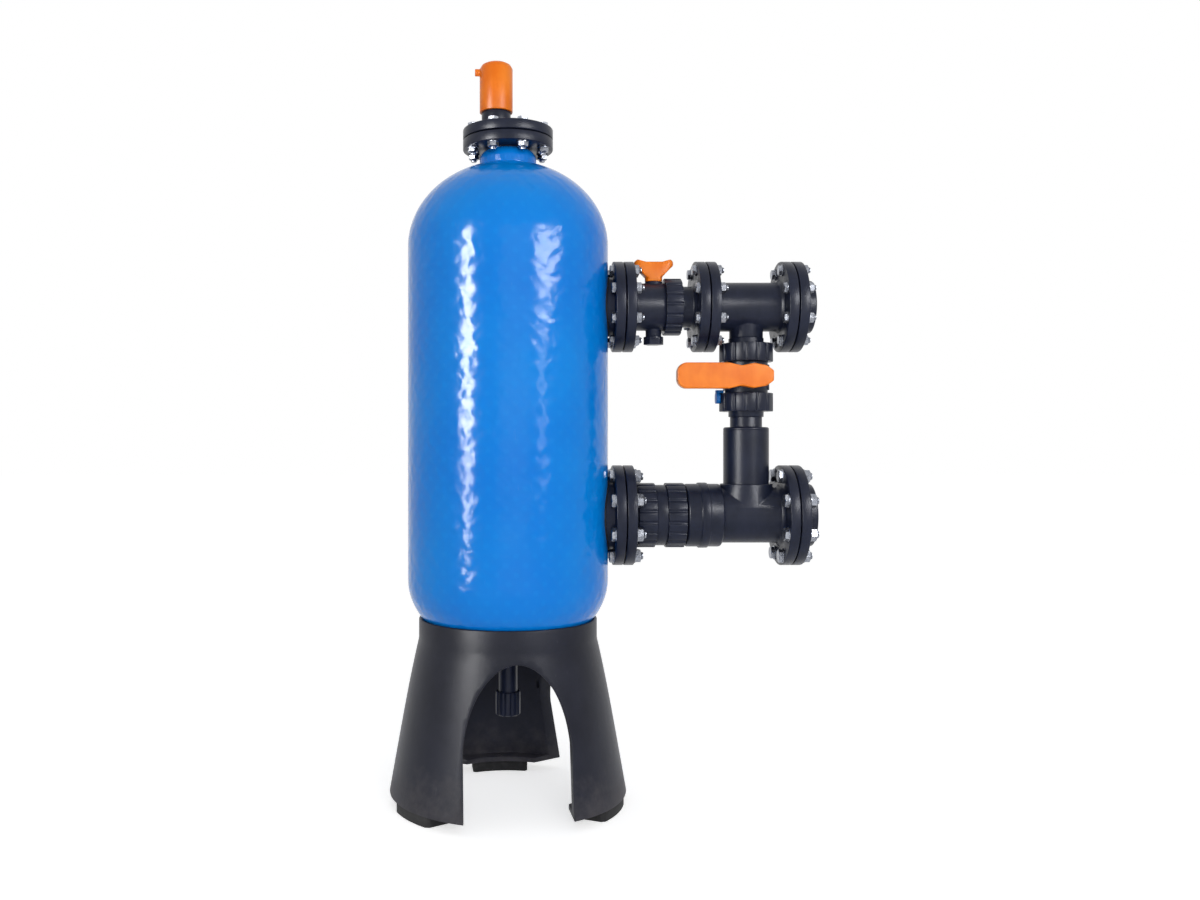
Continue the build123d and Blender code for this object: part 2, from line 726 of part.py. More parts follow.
def inlet_valve_seats():
    """Two seat rings, one each side of the inlet valve's ball."""
    outer_r = INLET_CAVITY_R - SLIP
    seats = ball_seats(INLET_BALL_R, INLET_BALL_BORE_R, outer_r, INLET_SEAT_REACH)
    return joined([along_x(seat, INLET_BALL_X, INLET_Z) for seat in seats])


def inlet_valve_ball():
    """Bored ball, open along the pipe, with a slot across its top for the stem."""
    body = Sphere(INLET_BALL_R)
    body -= Rot(0, 90, 0) * rod(INLET_BALL_BORE_R, -INLET_BALL_R, INLET_BALL_R)
    slot = Pos(0, 0, INLET_BALL_R) * Box(INLET_STEM_R, INLET_BALL_R, 2 * INLET_STEM_R - 8)
    return Pos(INLET_BALL_X, 0, INLET_Z) * (body - slot)


def inlet_valve_stem():
    """Stem with a flat tenon in the ball's slot, a thrust collar and a plain top."""
    floor = INLET_BALL_R - INLET_STEM_R + 4
    tenon = Box(INLET_STEM_R - 2 * SHAFT_GAP, 16, INLET_STEM_R, align=(Align.CENTER, Align.CENTER, Align.MIN))
    tenon = Pos(0, 0, floor + SLIP) * tenon
    collar = rod(INLET_STEM_R + 3, INLET_BALL_R + SLIP, INLET_CAVITY_R - 3)
    shaft = rod(INLET_STEM_R, INLET_BALL_R + SLIP, HANDLE_SHOULDER_Z - INLET_Z)
    return Pos(INLET_BALL_X, 0, INLET_Z) * (tenon + collar + shaft)


def inlet_valve_handle():
    """Winged handle: a bar along the pipe on a hub that narrows to the stem."""
    half = HANDLE_SPAN / 2
    low = INLET_BOSS_TOP + SLIP
    bar_low = HANDLE_TOP - HANDLE_BAR
    outline = Polyline(
        (HANDLE_HUB_WIDE, HANDLE_SHOULDER_Z - 8),
        (half - 6, bar_low),
        (half, bar_low + 5),
        (half, HANDLE_TOP - 5),
        (half - 8, HANDLE_TOP),
        (HANDLE_HUB_WIDE, HANDLE_TOP - 6),
        (-HANDLE_HUB_WIDE, HANDLE_TOP - 6),
        (8 - half, HANDLE_TOP),
        (-half, HANDLE_TOP - 5),
        (-half, bar_low + 5),
        (6 - half, bar_low),
        (-HANDLE_HUB_WIDE, HANDLE_SHOULDER_Z - 8),
        close=True,
    )
    plate = extrude(Plane.XZ * make_face(outline), HANDLE_DEPTH / 2, both=True)
    waist = rod(HANDLE_HUB_R + 2, low, HANDLE_SHOULDER_Z)
    plan = SlotOverall(HANDLE_SPAN, HANDLE_DEPTH)
    body = (plate + waist) & Pos(0, 0, low) * extrude(plan, HANDLE_TOP - low)
    body -= rod(INLET_STEM_R + SHAFT_GAP, low, HANDLE_SHOULDER_Z + SLIP)
    return Pos(INLET_BALL_X, 0, 0) * body


def inlet_valve_plug():
    """Screwed plug under the inlet valve's body."""
    head = hex_prism(2 * PLUG_HEAD_R - 4, PLUG_FACE_Z - PLUG_HEAD, PLUG_FACE_Z)
    collar = rod(PLUG_HEAD_R, PLUG_FACE_Z - PLUG_HEAD / 3, PLUG_FACE_Z)
    thread = rod(PLUG_THREAD_R, PLUG_FACE_Z, INLET_Z - INLET_CAVITY_R - 2)
    return Pos(INLET_BALL_X, 0, 0) * (head + collar + thread)


def inlet_tee():
    """Flanged tee on the inlet line, its branch reaching down to the bypass valve."""
    left_end = TEE_LEFT_X + FLANGE_T
    right_end = TEE_RIGHT_X - FLANGE_T
    body = turned_along_x(
        [
            (TEE_LEFT_X, 0),
            (TEE_LEFT_X, FLANGE_4_R),
            (left_end, FLANGE_4_R),
            (left_end, INLET_RUN_R + 6),
            (left_end + 8, INLET_RUN_R),
            (right_end - 8, INLET_RUN_R),
            (right_end, INLET_RUN_R + 6),
            (right_end, FLANGE_4_R),
            (TEE_RIGHT_X, FLANGE_4_R),
            (TEE_RIGHT_X, 0),
        ],
        INLET_Z,
    )
    socket_z = BYPASS_Z + BYPASS_TAIL_END
    branch = rod(BYPASS_TAIL_R - 2, socket_z, INLET_Z)
    spigot = rod(BYPASS_PIPE_R, socket_z - BYPASS_SOCKET + 1, INLET_Z)
    body += Pos(RISER_X, 0, 0) * (branch + spigot)
    body -= rod_along_x(FLANGE_4_BORE_R, TEE_LEFT_X, TEE_RIGHT_X, INLET_Z)
    body -= Pos(RISER_X, 0, 0) * rod(BYPASS_BORE_R, socket_z - BYPASS_SOCKET, INLET_Z)
    body = drilled_4(body, TEE_LEFT_X, INLET_Z)
    return drilled_4(body, right_end, INLET_Z)


def header_flange(pipe_r, bore_r, flange_r, axis_z):
    """Socket flange that takes a header pipe, open towards +X."""
    flange_end = HEADER_FACE_X + FLANGE_T
    mouth = flange_end + HEADER_SOCKET - FLANGE_T + 5
    return turned_along_x(
        [
            (HEADER_FACE_X, bore_r),
            (HEADER_FACE_X, flange_r),
            (flange_end, flange_r),
            (flange_end, pipe_r + 11),
            (mouth, pipe_r + 9),
            (mouth, pipe_r + SLIP),
            (mouth - HEADER_SOCKET, pipe_r + SLIP),
            (mouth - HEADER_SOCKET, bore_r),
        ],
        axis_z,
    )


def inlet_header_flange():
    """Socket flange for the inlet header."""
    body = header_flange(HEADER_PIPE_4_R, FLANGE_4_BORE_R, FLANGE_4_R, INLET_Z)
    return drilled_4(body, HEADER_FACE_X, INLET_Z)


def outlet_header_flange():
    """Socket flange for the outlet header."""
    body = header_flange(HEADER_PIPE_5_R, FLANGE_5_BORE_R, FLANGE_5_R, OUTLET_Z)
    return drilled_5(body, HEADER_FACE_X, OUTLET_Z)


def at_bypass(shape):
    """Moves a piece built about the origin to the bypass valve's centre."""
    return Pos(RISER_X, 0, BYPASS_Z) * shape


def bypass_valve_body():
    """Body of the bypass valve, threaded for a union nut at both ends, with a stem boss."""
    body = rod(BYPASS_BODY_R, -BYPASS_BODY_HALF, BYPASS_BODY_HALF)
    body += rod_towards_viewer(BYPASS_BOSS_R, 0, BYPASS_BOSS_REACH, 0, 0)
    pad = Box(2 * BYPASS_BODY_R + 4, BYPASS_BODY_R, 2 * UNION_NUT_START - 16)
    body += pad & rod(BYPASS_BODY_R + 4, -BYPASS_BODY_HALF, BYPASS_BODY_HALF)
    body -= rod(BYPASS_CAVITY_R, -BYPASS_BODY_HALF, BYPASS_BODY_HALF)
    body -= rod_towards_viewer(BYPASS_STEM_R + SHAFT_GAP, 0, BYPASS_BOSS_REACH, 0, 0)
    return at_bypass(body)


def bypass_tail():
    """Tail piece above the bypass valve: stub, collar and socket, bored through."""
    collar_end = BYPASS_BODY_HALF + BYPASS_COLLAR
    return turned(
        [
            (BYPASS_BORE_R, BYPASS_SEAT_REACH),
            (BYPASS_CAVITY_R - SLIP, BYPASS_SEAT_REACH),
            (BYPASS_CAVITY_R - SLIP, BYPASS_BODY_HALF),
            (BYPASS_BODY_R, BYPASS_BODY_HALF),
            (BYPASS_BODY_R, collar_end),
            (BYPASS_TAIL_R, collar_end),
            (BYPASS_TAIL_R, BYPASS_TAIL_END),
            (BYPASS_PIPE_R + SLIP, BYPASS_TAIL_END),
            (BYPASS_PIPE_R + SLIP, BYPASS_TAIL_END - BYPASS_SOCKET),
            (BYPASS_BORE_R, BYPASS_TAIL_END - BYPASS_SOCKET),
        ]
    )


def union_nut():
    """Fluted union nut above the bypass valve, with an inward lip over the tail's collar."""
    shoulder = BYPASS_BODY_HALF + BYPASS_COLLAR
    body = ring(UNION_NUT_R, BYPASS_BODY_R + SLIP, UNION_NUT_START, shoulder)
    body += ring(UNION_NUT_R, BYPASS_TAIL_R + SLIP, shoulder, UNION_NUT_END)
    return ribbed(body, UNION_NUT_R, 14, 5, UNION_NUT_START, UNION_NUT_END)


def mirrored_pair(shape):
    """The piece above the bypass valve's centre and its twin below."""
    return joined([at_bypass(shape), at_bypass(Rot(180, 0, 0) * shape)])


def bypass_valve_seats():
    """Two seat rings, above and below the bypass valve's ball."""
    seats = ball_seats(BYPASS_BALL_R, BYPASS_BORE_R, BYPASS_CAVITY_R - SLIP, BYPASS_SEAT_REACH)
    return joined([at_bypass(seat) for seat in seats])


def bypass_valve_ball():
    """Bored ball, closed across the riser, with a slot for the stem."""
    body = Sphere(BYPASS_BALL_R)
    body -= Rot(0, 90, 0) * rod(BYPASS_BORE_R, -BYPASS_BALL_R, BYPASS_BALL_R)
    slot = Pos(0, -BYPASS_BALL_R, 0) * Box(BYPASS_STEM_R, 2 * BYPASS_STEM_R - 6, BYPASS_BALL_R)
    return at_bypass(body - slot)


def bypass_valve_stem():
    """Stem towards the viewer, with a tenon in the ball's slot."""
    start = BYPASS_BALL_R - BYPASS_STEM_R + 3
    tenon = Pos(0, -start - SLIP - 5, 0) * Box(BYPASS_STEM_R - 2 * SHAFT_GAP, 10, 14)
    collar = rod_towards_viewer(BYPASS_STEM_R + 3, BYPASS_BALL_R + SLIP, BYPASS_CAVITY_R - 2, 0, 0)
    reach = BYPASS_BOSS_REACH + LEVER_T - LEVER_SHELL - SLIP
    shaft = rod_towards_viewer(BYPASS_STEM_R, BYPASS_BALL_R + SLIP, reach, 0, 0)
    return at_bypass(tenon + collar + shaft)


def lever_plan():
    """The lever's outline: a long round-ended grip, a waist, a hub and a short tail."""
    grip = LEVER_GRIP_H / 2
    grip_end = LEVER_GRIP - LEVER_LENGTH
    waist = LEVER_HUB_R - 6
    corners = [
        (-LEVER_LENGTH, grip),
        (grip_end, grip),
        (-LEVER_HUB_R, waist),
        (0, LEVER_HUB_R),
        (LEVER_HUB_R, waist),
        (LEVER_TAIL, waist / 2),
    ]
    lower = [(x, -y) for x, y in reversed(corners)]
    outline = make_face(Polyline(*corners, *lower, close=True))
    outline = fillet(outline.vertices().sort_by(Axis.X)[:2], grip * 0.75)
    sharp = outline.vertices().filter_by(lambda v: v.X > grip_end - 1)
    return fillet(sharp, 7)


def bypass_lever():
    """Moulded lever: a hollow shell with a hub, its mouth towards the valve."""
    near = BYPASS_BOSS_REACH + SLIP
    shell = extrude(Plane.XZ * lever_plan(), LEVER_T)
    front = shell.faces().sort_by(Axis.Y)[0]
    shell = fillet(front.edges(), 3.5)
    hollow = extrude(Plane.XZ * offset(lever_plan(), -LEVER_SHELL), LEVER_T - LEVER_SHELL)
    core = rod_towards_viewer(BYPASS_STEM_R + LEVER_SHELL, 0, LEVER_T - LEVER_SHELL / 2, 0, 0)
    rib = Pos(-LEVER_LENGTH / 2, -LEVER_T / 2, 0) * Box(LEVER_LENGTH - 20, LEVER_T - 6, LEVER_SHELL)
    body = (shell - hollow) + core + rib
    body -= rod_towards_viewer(BYPASS_STEM_R + SHAFT_GAP, 0, LEVER_T - LEVER_SHELL, 0, 0)
    return at_bypass(Pos(0, -near, 0) * body)


def nut_lock():
    """Small clip that hooks over the lower union nut's rim from the valve body."""
    reach = UNION_NUT_R + SLIP
    button = Pos(-reach - LOCK_T / 2, 0, -UNION_NUT_START - LOCK_DROP) * Box(LOCK_T, LOCK_WIDTH, LOCK_WIDTH)
    button = fillet(button.edges().filter_by(Axis.X), LOCK_WIDTH / 3)
    arm = Box(reach + LOCK_T, LOCK_ARM_WIDTH, LOCK_ARM_T, align=(Align.MIN, Align.CENTER, Align.MIN))
    arm = Pos(-reach - LOCK_T, 0, SLIP - UNION_NUT_START) * arm
    arm -= rod(BYPASS_BODY_R + 4 + SLIP, -BYPASS_BODY_HALF, BYPASS_BODY_HALF)
    return at_bypass(button + arm)


def bypass_reducer():
    """Reducing bush in the riser's top, with a spigot up into the valve's lower tail."""
    socket_z = BYPASS_Z - BYPASS_TAIL_END
    rim_low = REDUCER_TOP - REDUCER_RIM
    bore_r = RISER_R - RISER_WALL
    body = turned(
        [
            (BYPASS_BORE_R, rim_low - REDUCER_PLUG),
            (bore_r - SLIP, rim_low - REDUCER_PLUG),
            (bore_r - SLIP, rim_low),
            (RISER_R, rim_low),
            (RISER_R, REDUCER_TOP - 3),
            (RISER_R - 3, REDUCER_TOP),
            (REDUCER_NECK_R, REDUCER_TOP),
            (REDUCER_NECK_R, socket_z),
            (BYPASS_PIPE_R, socket_z),
            (BYPASS_PIPE_R, socket_z + BYPASS_SOCKET - 1),
            (BYPASS_BORE_R, socket_z + BYPASS_SOCKET - 1),
        ]
    )
    return Pos(RISER_X, 0, 0) * body


def bypass_riser():
    """Plain pipe between the outlet tee and the reducer."""
    return Pos(RISER_X, 0, 0) * ring(RISER_R, RISER_R - RISER_WALL, RISER_FOOT, REDUCER_TOP - REDUCER_RIM)


def outlet_tee():
    """Tee on the outlet line: a spigot into the coupling, a flange and an upright socket with gussets."""
    right_end = TEE_RIGHT_X - FLANGE_T
    coupling_end = COUPLING_X + COUPLING_LENGTH
    body = turned_along_x(
        [
            (TEE_LEFT_X, 0),
            (TEE_LEFT_X, CHECK_NECK_R),
            (coupling_end, CHECK_NECK_R),
            (coupling_end, OUTLET_RUN_R),
            (right_end - 8, OUTLET_RUN_R),
            (right_end, OUTLET_RUN_R + 8),
            (right_end, FLANGE_5_R),
            (TEE_RIGHT_X, FLANGE_5_R),
            (TEE_RIGHT_X, 0),
        ],
        OUTLET_Z,
    )
    web = Polyline(
        (coupling_end, OUTLET_Z),
        (coupling_end, OUTLET_Z + OUTLET_RUN_R - 6),
        (RISER_X - TEE_SOCKET_R, TEE_SOCKET_TOP - 8),
        (RISER_X + TEE_SOCKET_R, TEE_SOCKET_TOP - 8),
        (right_end, OUTLET_Z + OUTLET_RUN_R - 6),
        (right_end, OUTLET_Z),
        close=True,
    )
    body += extrude(Plane.XZ * make_face(web), GUSSET_T / 2, both=True)
    body += Pos(RISER_X, 0, 0) * rod(TEE_SOCKET_R, OUTLET_Z, TEE_SOCKET_TOP)
    body -= rod_along_x(CHECK_END_BORE_R, TEE_LEFT_X, TEE_RIGHT_X, OUTLET_Z)
    body -= Pos(RISER_X, 0, 0) * rod(RISER_R + SLIP, RISER_FOOT - SLIP, TEE_SOCKET_TOP)
    body -= Pos(RISER_X, 0, 0) * rod(RISER_R - RISER_WALL, OUTLET_Z, TEE_SOCKET_TOP)
    return drilled_5(body, right_end, OUTLET_Z)


def check_flange_end():
    """Flanged end connector of the check valve, with a collar inside the first union nut."""
    flange_end = VALVE_FACE_X + FLANGE_T
    collar_x = CHECK_NUT_1_X + CHECK_LIP
    body = turned_along_x(
        [
            (VALVE_FACE_X, FLANGE_5_BORE_R),
            (VALVE_FACE_X, FLANGE_5_R),
            (flange_end, FLANGE_5_R),
            (flange_end, CHECK_NECK_R),
            (collar_x, CHECK_NECK_R),
            (collar_x, CHECK_COLLAR_R),
            (collar_x + CHECK_COLLAR, CHECK_COLLAR_R),
            (collar_x + CHECK_COLLAR, CHECK_END_BORE_R),
            (flange_end, CHECK_END_BORE_R),
        ],
        OUTLET_Z,
    )
    return drilled_5(body, VALVE_FACE_X, OUTLET_Z)


def check_nut():
    """Fluted union nut of the check valve about Z, its lip at the start."""
    body = ring(CHECK_NUT_R, CHECK_NECK_R + SLIP, 0, CHECK_LIP)
    body += ring(CHECK_NUT_R, CHECK_BODY_R + SLIP, CHECK_LIP, CHECK_NUT_LENGTH)
    return ribbed(body, CHECK_NUT_R, 18, 5, 0, CHECK_NUT_LENGTH)


def check_union_nuts():
    """The check valve's two union nuts, lips outwards."""
    first = along_x(check_nut(), CHECK_NUT_1_X, OUTLET_Z)
    end_x = CHECK_NUT_2_X + CHECK_NUT_LENGTH
    second = Pos(end_x, 0, OUTLET_Z) * Rot(0, -90, 0) * check_nut()
    return joined([first, second])


def check_body_ends():
    """Where the check valve's body starts and ends along X."""
    start = CHECK_NUT_1_X + CHECK_LIP + CHECK_COLLAR
    end = CHECK_NUT_2_X + CHECK_NUT_LENGTH - CHECK_LIP - CHECK_COLLAR
    return start, end


def flap_pin_bar(radius, half):
    """Bar along Y through the flap's pivot."""
    pivot = Pos(FLAP_PIVOT_X, 0, OUTLET_Z + FLAP_PIVOT_UP)
    return pivot * Rot(90, 0, 0) * rod(radius, -half, half)


def check_body():
    """Check valve body between the union nuts, bored through, drilled for the flap's pin."""
    start, end = check_body_ends()
    band_low = CHECK_NUT_1_X + CHECK_NUT_LENGTH + SLIP
    band_high = CHECK_NUT_2_X - SLIP
    body = turned_along_x(
        [
            (start, CHECK_BORE_R),
            (start, CHECK_BODY_R),
            (band_low, CHECK_BODY_R),
            (band_low, CHECK_BAND_R),
            (band_high, CHECK_BAND_R),
            (band_high, CHECK_BODY_R),
            (end, CHECK_BODY_R),
            (end, CHECK_BORE_R),
        ],
        OUTLET_Z,
    )
    return body - flap_pin_bar(FLAP_PIN_R, FLAP_PIN_HALF)


def check_seat():
    """Seat ring inside the check valve's body."""
    seat = ring(CHECK_BORE_R - SLIP, CHECK_SEAT_R, 0, CHECK_SEAT_T)
    return along_x(seat, CHECK_SEAT_X, OUTLET_Z)


def check_flap():
    """Hinged disc that closes on the seat, with a knuckle on the pin."""
    face_x = CHECK_SEAT_X + CHECK_SEAT_T + SLIP
    disc = rod_along_x(FLAP_R, face_x, face_x + FLAP_T, OUTLET_Z)
    dome = rod_along_x(FLAP_R / 2, face_x + FLAP_T, face_x + FLAP_T + 4, OUTLET_Z)
    arm_x = face_x + FLAP_T - 2
    arm = Pos(arm_x, 0, OUTLET_Z) * Box(
        6, FLAP_KNUCKLE_W - 8, FLAP_PIVOT_UP, align=(Align.MIN, Align.CENTER, Align.MIN)
    )
    body = disc + dome + arm + flap_pin_bar(FLAP_KNUCKLE_R, FLAP_KNUCKLE_W / 2)
    return body - flap_pin_bar(FLAP_PIN_R + SHAFT_GAP, FLAP_KNUCKLE_W)


def check_flap_pin():
    """Hinge pin fixed in the check valve's body."""
    return flap_pin_bar(FLAP_PIN_R, FLAP_PIN_HALF)


def check_tail():
    """Plain end connector of the check valve, its spigot in the coupling."""
    start = check_body_ends()[1]
    body = turned_along_x(
        [
            (start, CHECK_END_BORE_R),
            (start, CHECK_COLLAR_R),
            (start + CHECK_COLLAR, CHECK_COLLAR_R),
            (start + CHECK_COLLAR, CHECK_NECK_R),
            (TEE_LEFT_X - 4, CHECK_NECK_R),
            (TEE_LEFT_X - 4, CHECK_END_BORE_R),
        ],
        OUTLET_Z,
    )
    return body


def outlet_coupling():
    """Banded socket coupling between the check valve and the outlet tee."""
    end = COUPLING_X + COUPLING_LENGTH
    middle = (COUPLING_X + end) / 2
    return turned_along_x(
        [
            (COUPLING_X, CHECK_NECK_R + SLIP),
            (COUPLING_X, COUPLING_R - 3),
            (COUPLING_X + 4, COUPLING_R),
            (middle - COUPLING_BAND / 2, COUPLING_R),
            (middle - COUPLING_BAND / 2, COUPLING_R + 3),
            (middle + COUPLING_BAND / 2, COUPLING_R + 3),
            (middle + COUPLING_BAND / 2, COUPLING_R),
            (end - 4, COUPLING_R),
            (end, COUPLING_R - 3),
            (end, CHECK_NECK_R + SLIP),
        ],
        OUTLET_Z,
    )


def bent_pipe(outer_r, bore_r, axis_z, end_z, bend_r):
    """Pipe from a port's spigot to the vessel's axis, then up or down to end_z."""
    path = FilletPolyline((PORT_REACH + PIPE_INSERT, 0, axis_z), (0, 0, axis_z), (0, 0, end_z), radius=bend_r)
    section = Plane(path @ 0, z_dir=path % 0)
    tube = sweep(section * Circle(outer_r), path)
    if bore_r:
        tube -= sweep(section * Circle(bore_r), path)
    return tube


def inlet_elbow():
    """Inlet pipe inside the vessel, turning up to the diffuser."""
    return bent_pipe(INLET_PIPE_R, INLET_PIPE_BORE_R, INLET_Z, INLET_PIPE_TOP, INLET_BEND_R)


def inlet_diffuser():
    """Socket ring, posts and a dished plate that spreads the inlet flow."""
    low = INLET_PIPE_TOP - PIPE_INSERT
    high = INLET_PIPE_TOP + DIFFUSER_H
    rim = INLET_PIPE_R + 9
    body = ring(rim, INLET_PIPE_R + SLIP, low, INLET_PIPE_TOP)
    body += turned([(0, high), (DIFFUSER_R, high - 22), (DIFFUSER_R, high - 16), (0, high + 8)])
    post = Pos(INLET_PIPE_R + 4.5, 0, 0) * rod(4, INLET_PIPE_TOP - 5, high - 8)
    return body + [Rot(0, 0, 45 + 360 / DIFFUSER_POSTS * n) * post for n in range(DIFFUSER_POSTS)]


def outlet_elbow():
    """Outlet pipe inside the vessel, turning down to the collector hub."""
    return bent_pipe(OUTLET_PIPE_R, OUTLET_PIPE_BORE_R, OUTLET_Z, OUTLET_PIPE_LOW, OUTLET_BEND_R)


def lateral_bar(radius, start, end, turn):
    """Bar that radiates from the collector hub at one turn."""
    return Rot(0, 0, turn) * rod_along_x(radius, start, end, LATERAL_Z)


def lateral_turns():
    """The angle of each lateral."""
    return [360 / LATERALS * n for n in range(LATERALS)]


def collector_hub():
    """Hub that gathers the laterals, with a socket for the outlet pipe."""
    chamber_r = HUB_R - HUB_WALL
    body = rod(HUB_R, HUB_LOW, HUB_TOP)
    body -= rod(OUTLET_PIPE_R + SLIP, OUTLET_PIPE_LOW - SLIP, HUB_TOP)
    body -= rod(chamber_r - 8, HUB_LOW + HUB_FLOOR, HUB_TOP)
    return body - [lateral_bar(LATERAL_R + SLIP / 2, LATERAL_START, HUB_R, turn) for turn in lateral_turns()]


def one_lateral():
    """Slotted collector pipe with a closed outer end."""
    body = rod_along_x(LATERAL_R, LATERAL_START, LATERAL_END, LATERAL_Z)
    body -= rod_along_x(LATERAL_BORE_R, LATERAL_START, LATERAL_END - 5, LATERAL_Z)
    pitch = (LATERAL_END - HUB_R) / (LATERAL_SLITS + 1)
    slit = Box(SLIT_WIDTH, 3 * LATERAL_R, LATERAL_R, align=(Align.CENTER, Align.CENTER, Align.MAX))
    cuts = [Pos(HUB_R + pitch * (n + 1), 0, LATERAL_Z - 2) * slit for n in range(LATERAL_SLITS)]
    return body - cuts


def laterals():
    """The eight laterals, each a piece of its own."""
    lateral = one_lateral()
    return joined([Rot(0, 0, turn) * lateral for turn in lateral_turns()])


def bed(low, high):
    """A slice of the vessel's inside, just clear of its wall."""
    return vessel_form(-VESSEL_WALL - SLIP) & rod(VESSEL_R, low, high)


def outlet_pipe_room():
    """Space that the outlet pipe takes inside the beds."""
    return bent_pipe(OUTLET_PIPE_R + SLIP, 0, OUTLET_Z, OUTLET_PIPE_LOW - 1, OUTLET_BEND_R)


def port_room():
    """Space that the outlet port's spigot and nut take inside the sand."""
    rim = PORT_PIPE_5_R + PORT_NUT_RIM
    return rod_along_x(rim * 1.16, PORT_REACH - SLIP, VESSEL_R, OUTLET_Z)


def gravel_bed():
    """Gravel round the collector hub and laterals, filling the lower dome."""
    body = bed(CYLINDER_LOW - LOW_DOME_H, GRAVEL_TOP)
    body -= rod(HUB_R + SLIP, HUB_LOW - SLIP, HUB_TOP + SLIP)
    body -= outlet_pipe_room()
    body -= rod(DRAIN_PIPE_R + SLIP, DRAIN_PIPE_LOW, DRAIN_PIPE_HIGH + SLIP)
    turns = lateral_turns()
    return body - [lateral_bar(LATERAL_R + SLIP, LATERAL_START, LATERAL_END + SLIP, turn) for turn in turns]


def sand_bed():
    """Filter sand above the gravel, round the outlet pipe."""
    return bed(GRAVEL_TOP + SLIP, SAND_TOP) - outlet_pipe_room() - port_room()


def nodes():
    """Every sub-part under its name."""
    m16_bolt = bolt(M16_R, M16_ACROSS, M16_HEAD, FLANGE_PAIR, M16_NUT)
    m20_bolt = bolt(M20_R, M20_ACROSS, M20_HEAD, FLANGE_PAIR, M20_NUT)
    return {
        "tank_shell": tank_shell(),
        "stand": stand(),
        "stand_feet": stand_feet(),
        "closure_flange": closure_flange(),
        "closure_lid": lid(),
        "air_valve_base": air_valve_base(),
        "air_valve_body": air_valve_body(),
        "air_valve_seat": air_valve_seat(),
        "air_valve_float": air_valve_float(),
        "drain_nipple": drain_nipple(),
        "drain_cap": drain_cap(),
        "bolts_m16": m16_group(m16_bolt),
        "nuts_m16": m16_group(hex_nut(M16_R, M16_ACROSS, FLANGE_PAIR, M16_NUT)),
        "bolts_m20": m20_group(m20_bolt),
        "nuts_m20": m20_group(hex_nut(M20_R, M20_ACROSS, FLANGE_PAIR, M20_NUT)),
        "flange_gaskets_4in": gaskets_4(),
        "flange_gaskets_5in": gaskets_5(),
        "inlet_port_fitting": inlet_port(),
        "inlet_port_gasket": saddle_gasket(PORT_PIPE_R, PORT_HUB_R, INLET_Z),
        "inlet_port_nut": port_nut(PORT_PIPE_R, INLET_Z),
        "inlet_valve_body": inlet_valve_body(),
        "inlet_valve_ball": inlet_valve_ball(),
        "inlet_valve_seats": inlet_valve_seats(),
        "inlet_valve_stem": inlet_valve_stem(),
        "inlet_valve_handle": inlet_valve_handle(),
        "inlet_valve_union_nut": inlet_valve_nut(),
        "inlet_valve_tail": inlet_valve_tail(),
        "inlet_valve_plug": inlet_valve_plug(),
        "inlet_tee": inlet_tee(),
        "inlet_header_flange": inlet_header_flange(),
        "bypass_valve_body": bypass_valve_body(),
        "bypass_valve_ball": bypass_valve_ball(),
        "bypass_valve_seats": bypass_valve_seats(),
        "bypass_valve_stem": bypass_valve_stem(),
        "bypass_lever": bypass_lever(),
        "bypass_union_nuts": mirrored_pair(union_nut()),
        "bypass_tails": mirrored_pair(bypass_tail()),
        "union_nut_lock": nut_lock(),
        "bypass_reducer": bypass_reducer(),
        "bypass_riser": bypass_riser(),
        "outlet_port_fitting": outlet_port(),
        "outlet_port_gasket": saddle_gasket(PORT_PIPE_5_R, PORT_HUB_5_R, OUTLET_Z),
        "outlet_port_nut": port_nut(PORT_PIPE_5_R, OUTLET_Z),
        "check_flange_end": check_flange_end(),
        "check_union_nuts": check_union_nuts(),
        "check_body": check_body(),
        "check_seat": check_seat(),
        "check_flap": check_flap(),
        "check_flap_pin": check_flap_pin(),
        "check_tail": check_tail(),
        "outlet_coupling": outlet_coupling(),
        "outlet_tee": outlet_tee(),
        "outlet_header_flange": outlet_header_flange(),
        "inlet_elbow": inlet_elbow(),
        "inlet_diffuser": inlet_diffuser(),
        "outlet_elbow": outlet_elbow(),
        "collector_hub": collector_hub(),
        "laterals": laterals(),
        "gravel_bed": gravel_bed(),
        "sand_bed": sand_bed(),
    }


os.makedirs("parts", exist_ok=True)
for name, shape in nodes().items():
    export_step(shape, f"parts/{name}.step")
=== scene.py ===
import json
import math
import bpy
import bmesh
from mathutils import Matrix, Vector

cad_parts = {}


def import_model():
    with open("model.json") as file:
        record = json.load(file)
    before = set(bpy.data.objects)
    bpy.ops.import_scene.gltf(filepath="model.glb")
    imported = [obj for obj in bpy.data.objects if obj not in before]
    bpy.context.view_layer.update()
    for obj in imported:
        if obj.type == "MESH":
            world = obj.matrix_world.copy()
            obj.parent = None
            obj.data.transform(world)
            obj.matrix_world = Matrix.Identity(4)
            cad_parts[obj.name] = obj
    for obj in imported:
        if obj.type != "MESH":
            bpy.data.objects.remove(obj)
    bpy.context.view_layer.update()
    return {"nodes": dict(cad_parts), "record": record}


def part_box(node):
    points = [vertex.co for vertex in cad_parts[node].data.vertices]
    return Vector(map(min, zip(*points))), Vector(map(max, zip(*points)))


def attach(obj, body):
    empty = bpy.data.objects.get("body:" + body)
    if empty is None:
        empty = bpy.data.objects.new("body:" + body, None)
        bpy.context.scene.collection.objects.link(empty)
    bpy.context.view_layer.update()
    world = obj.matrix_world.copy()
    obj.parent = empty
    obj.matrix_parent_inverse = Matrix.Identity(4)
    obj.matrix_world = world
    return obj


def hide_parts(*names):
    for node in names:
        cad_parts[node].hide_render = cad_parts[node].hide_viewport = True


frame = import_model()


# Shader building

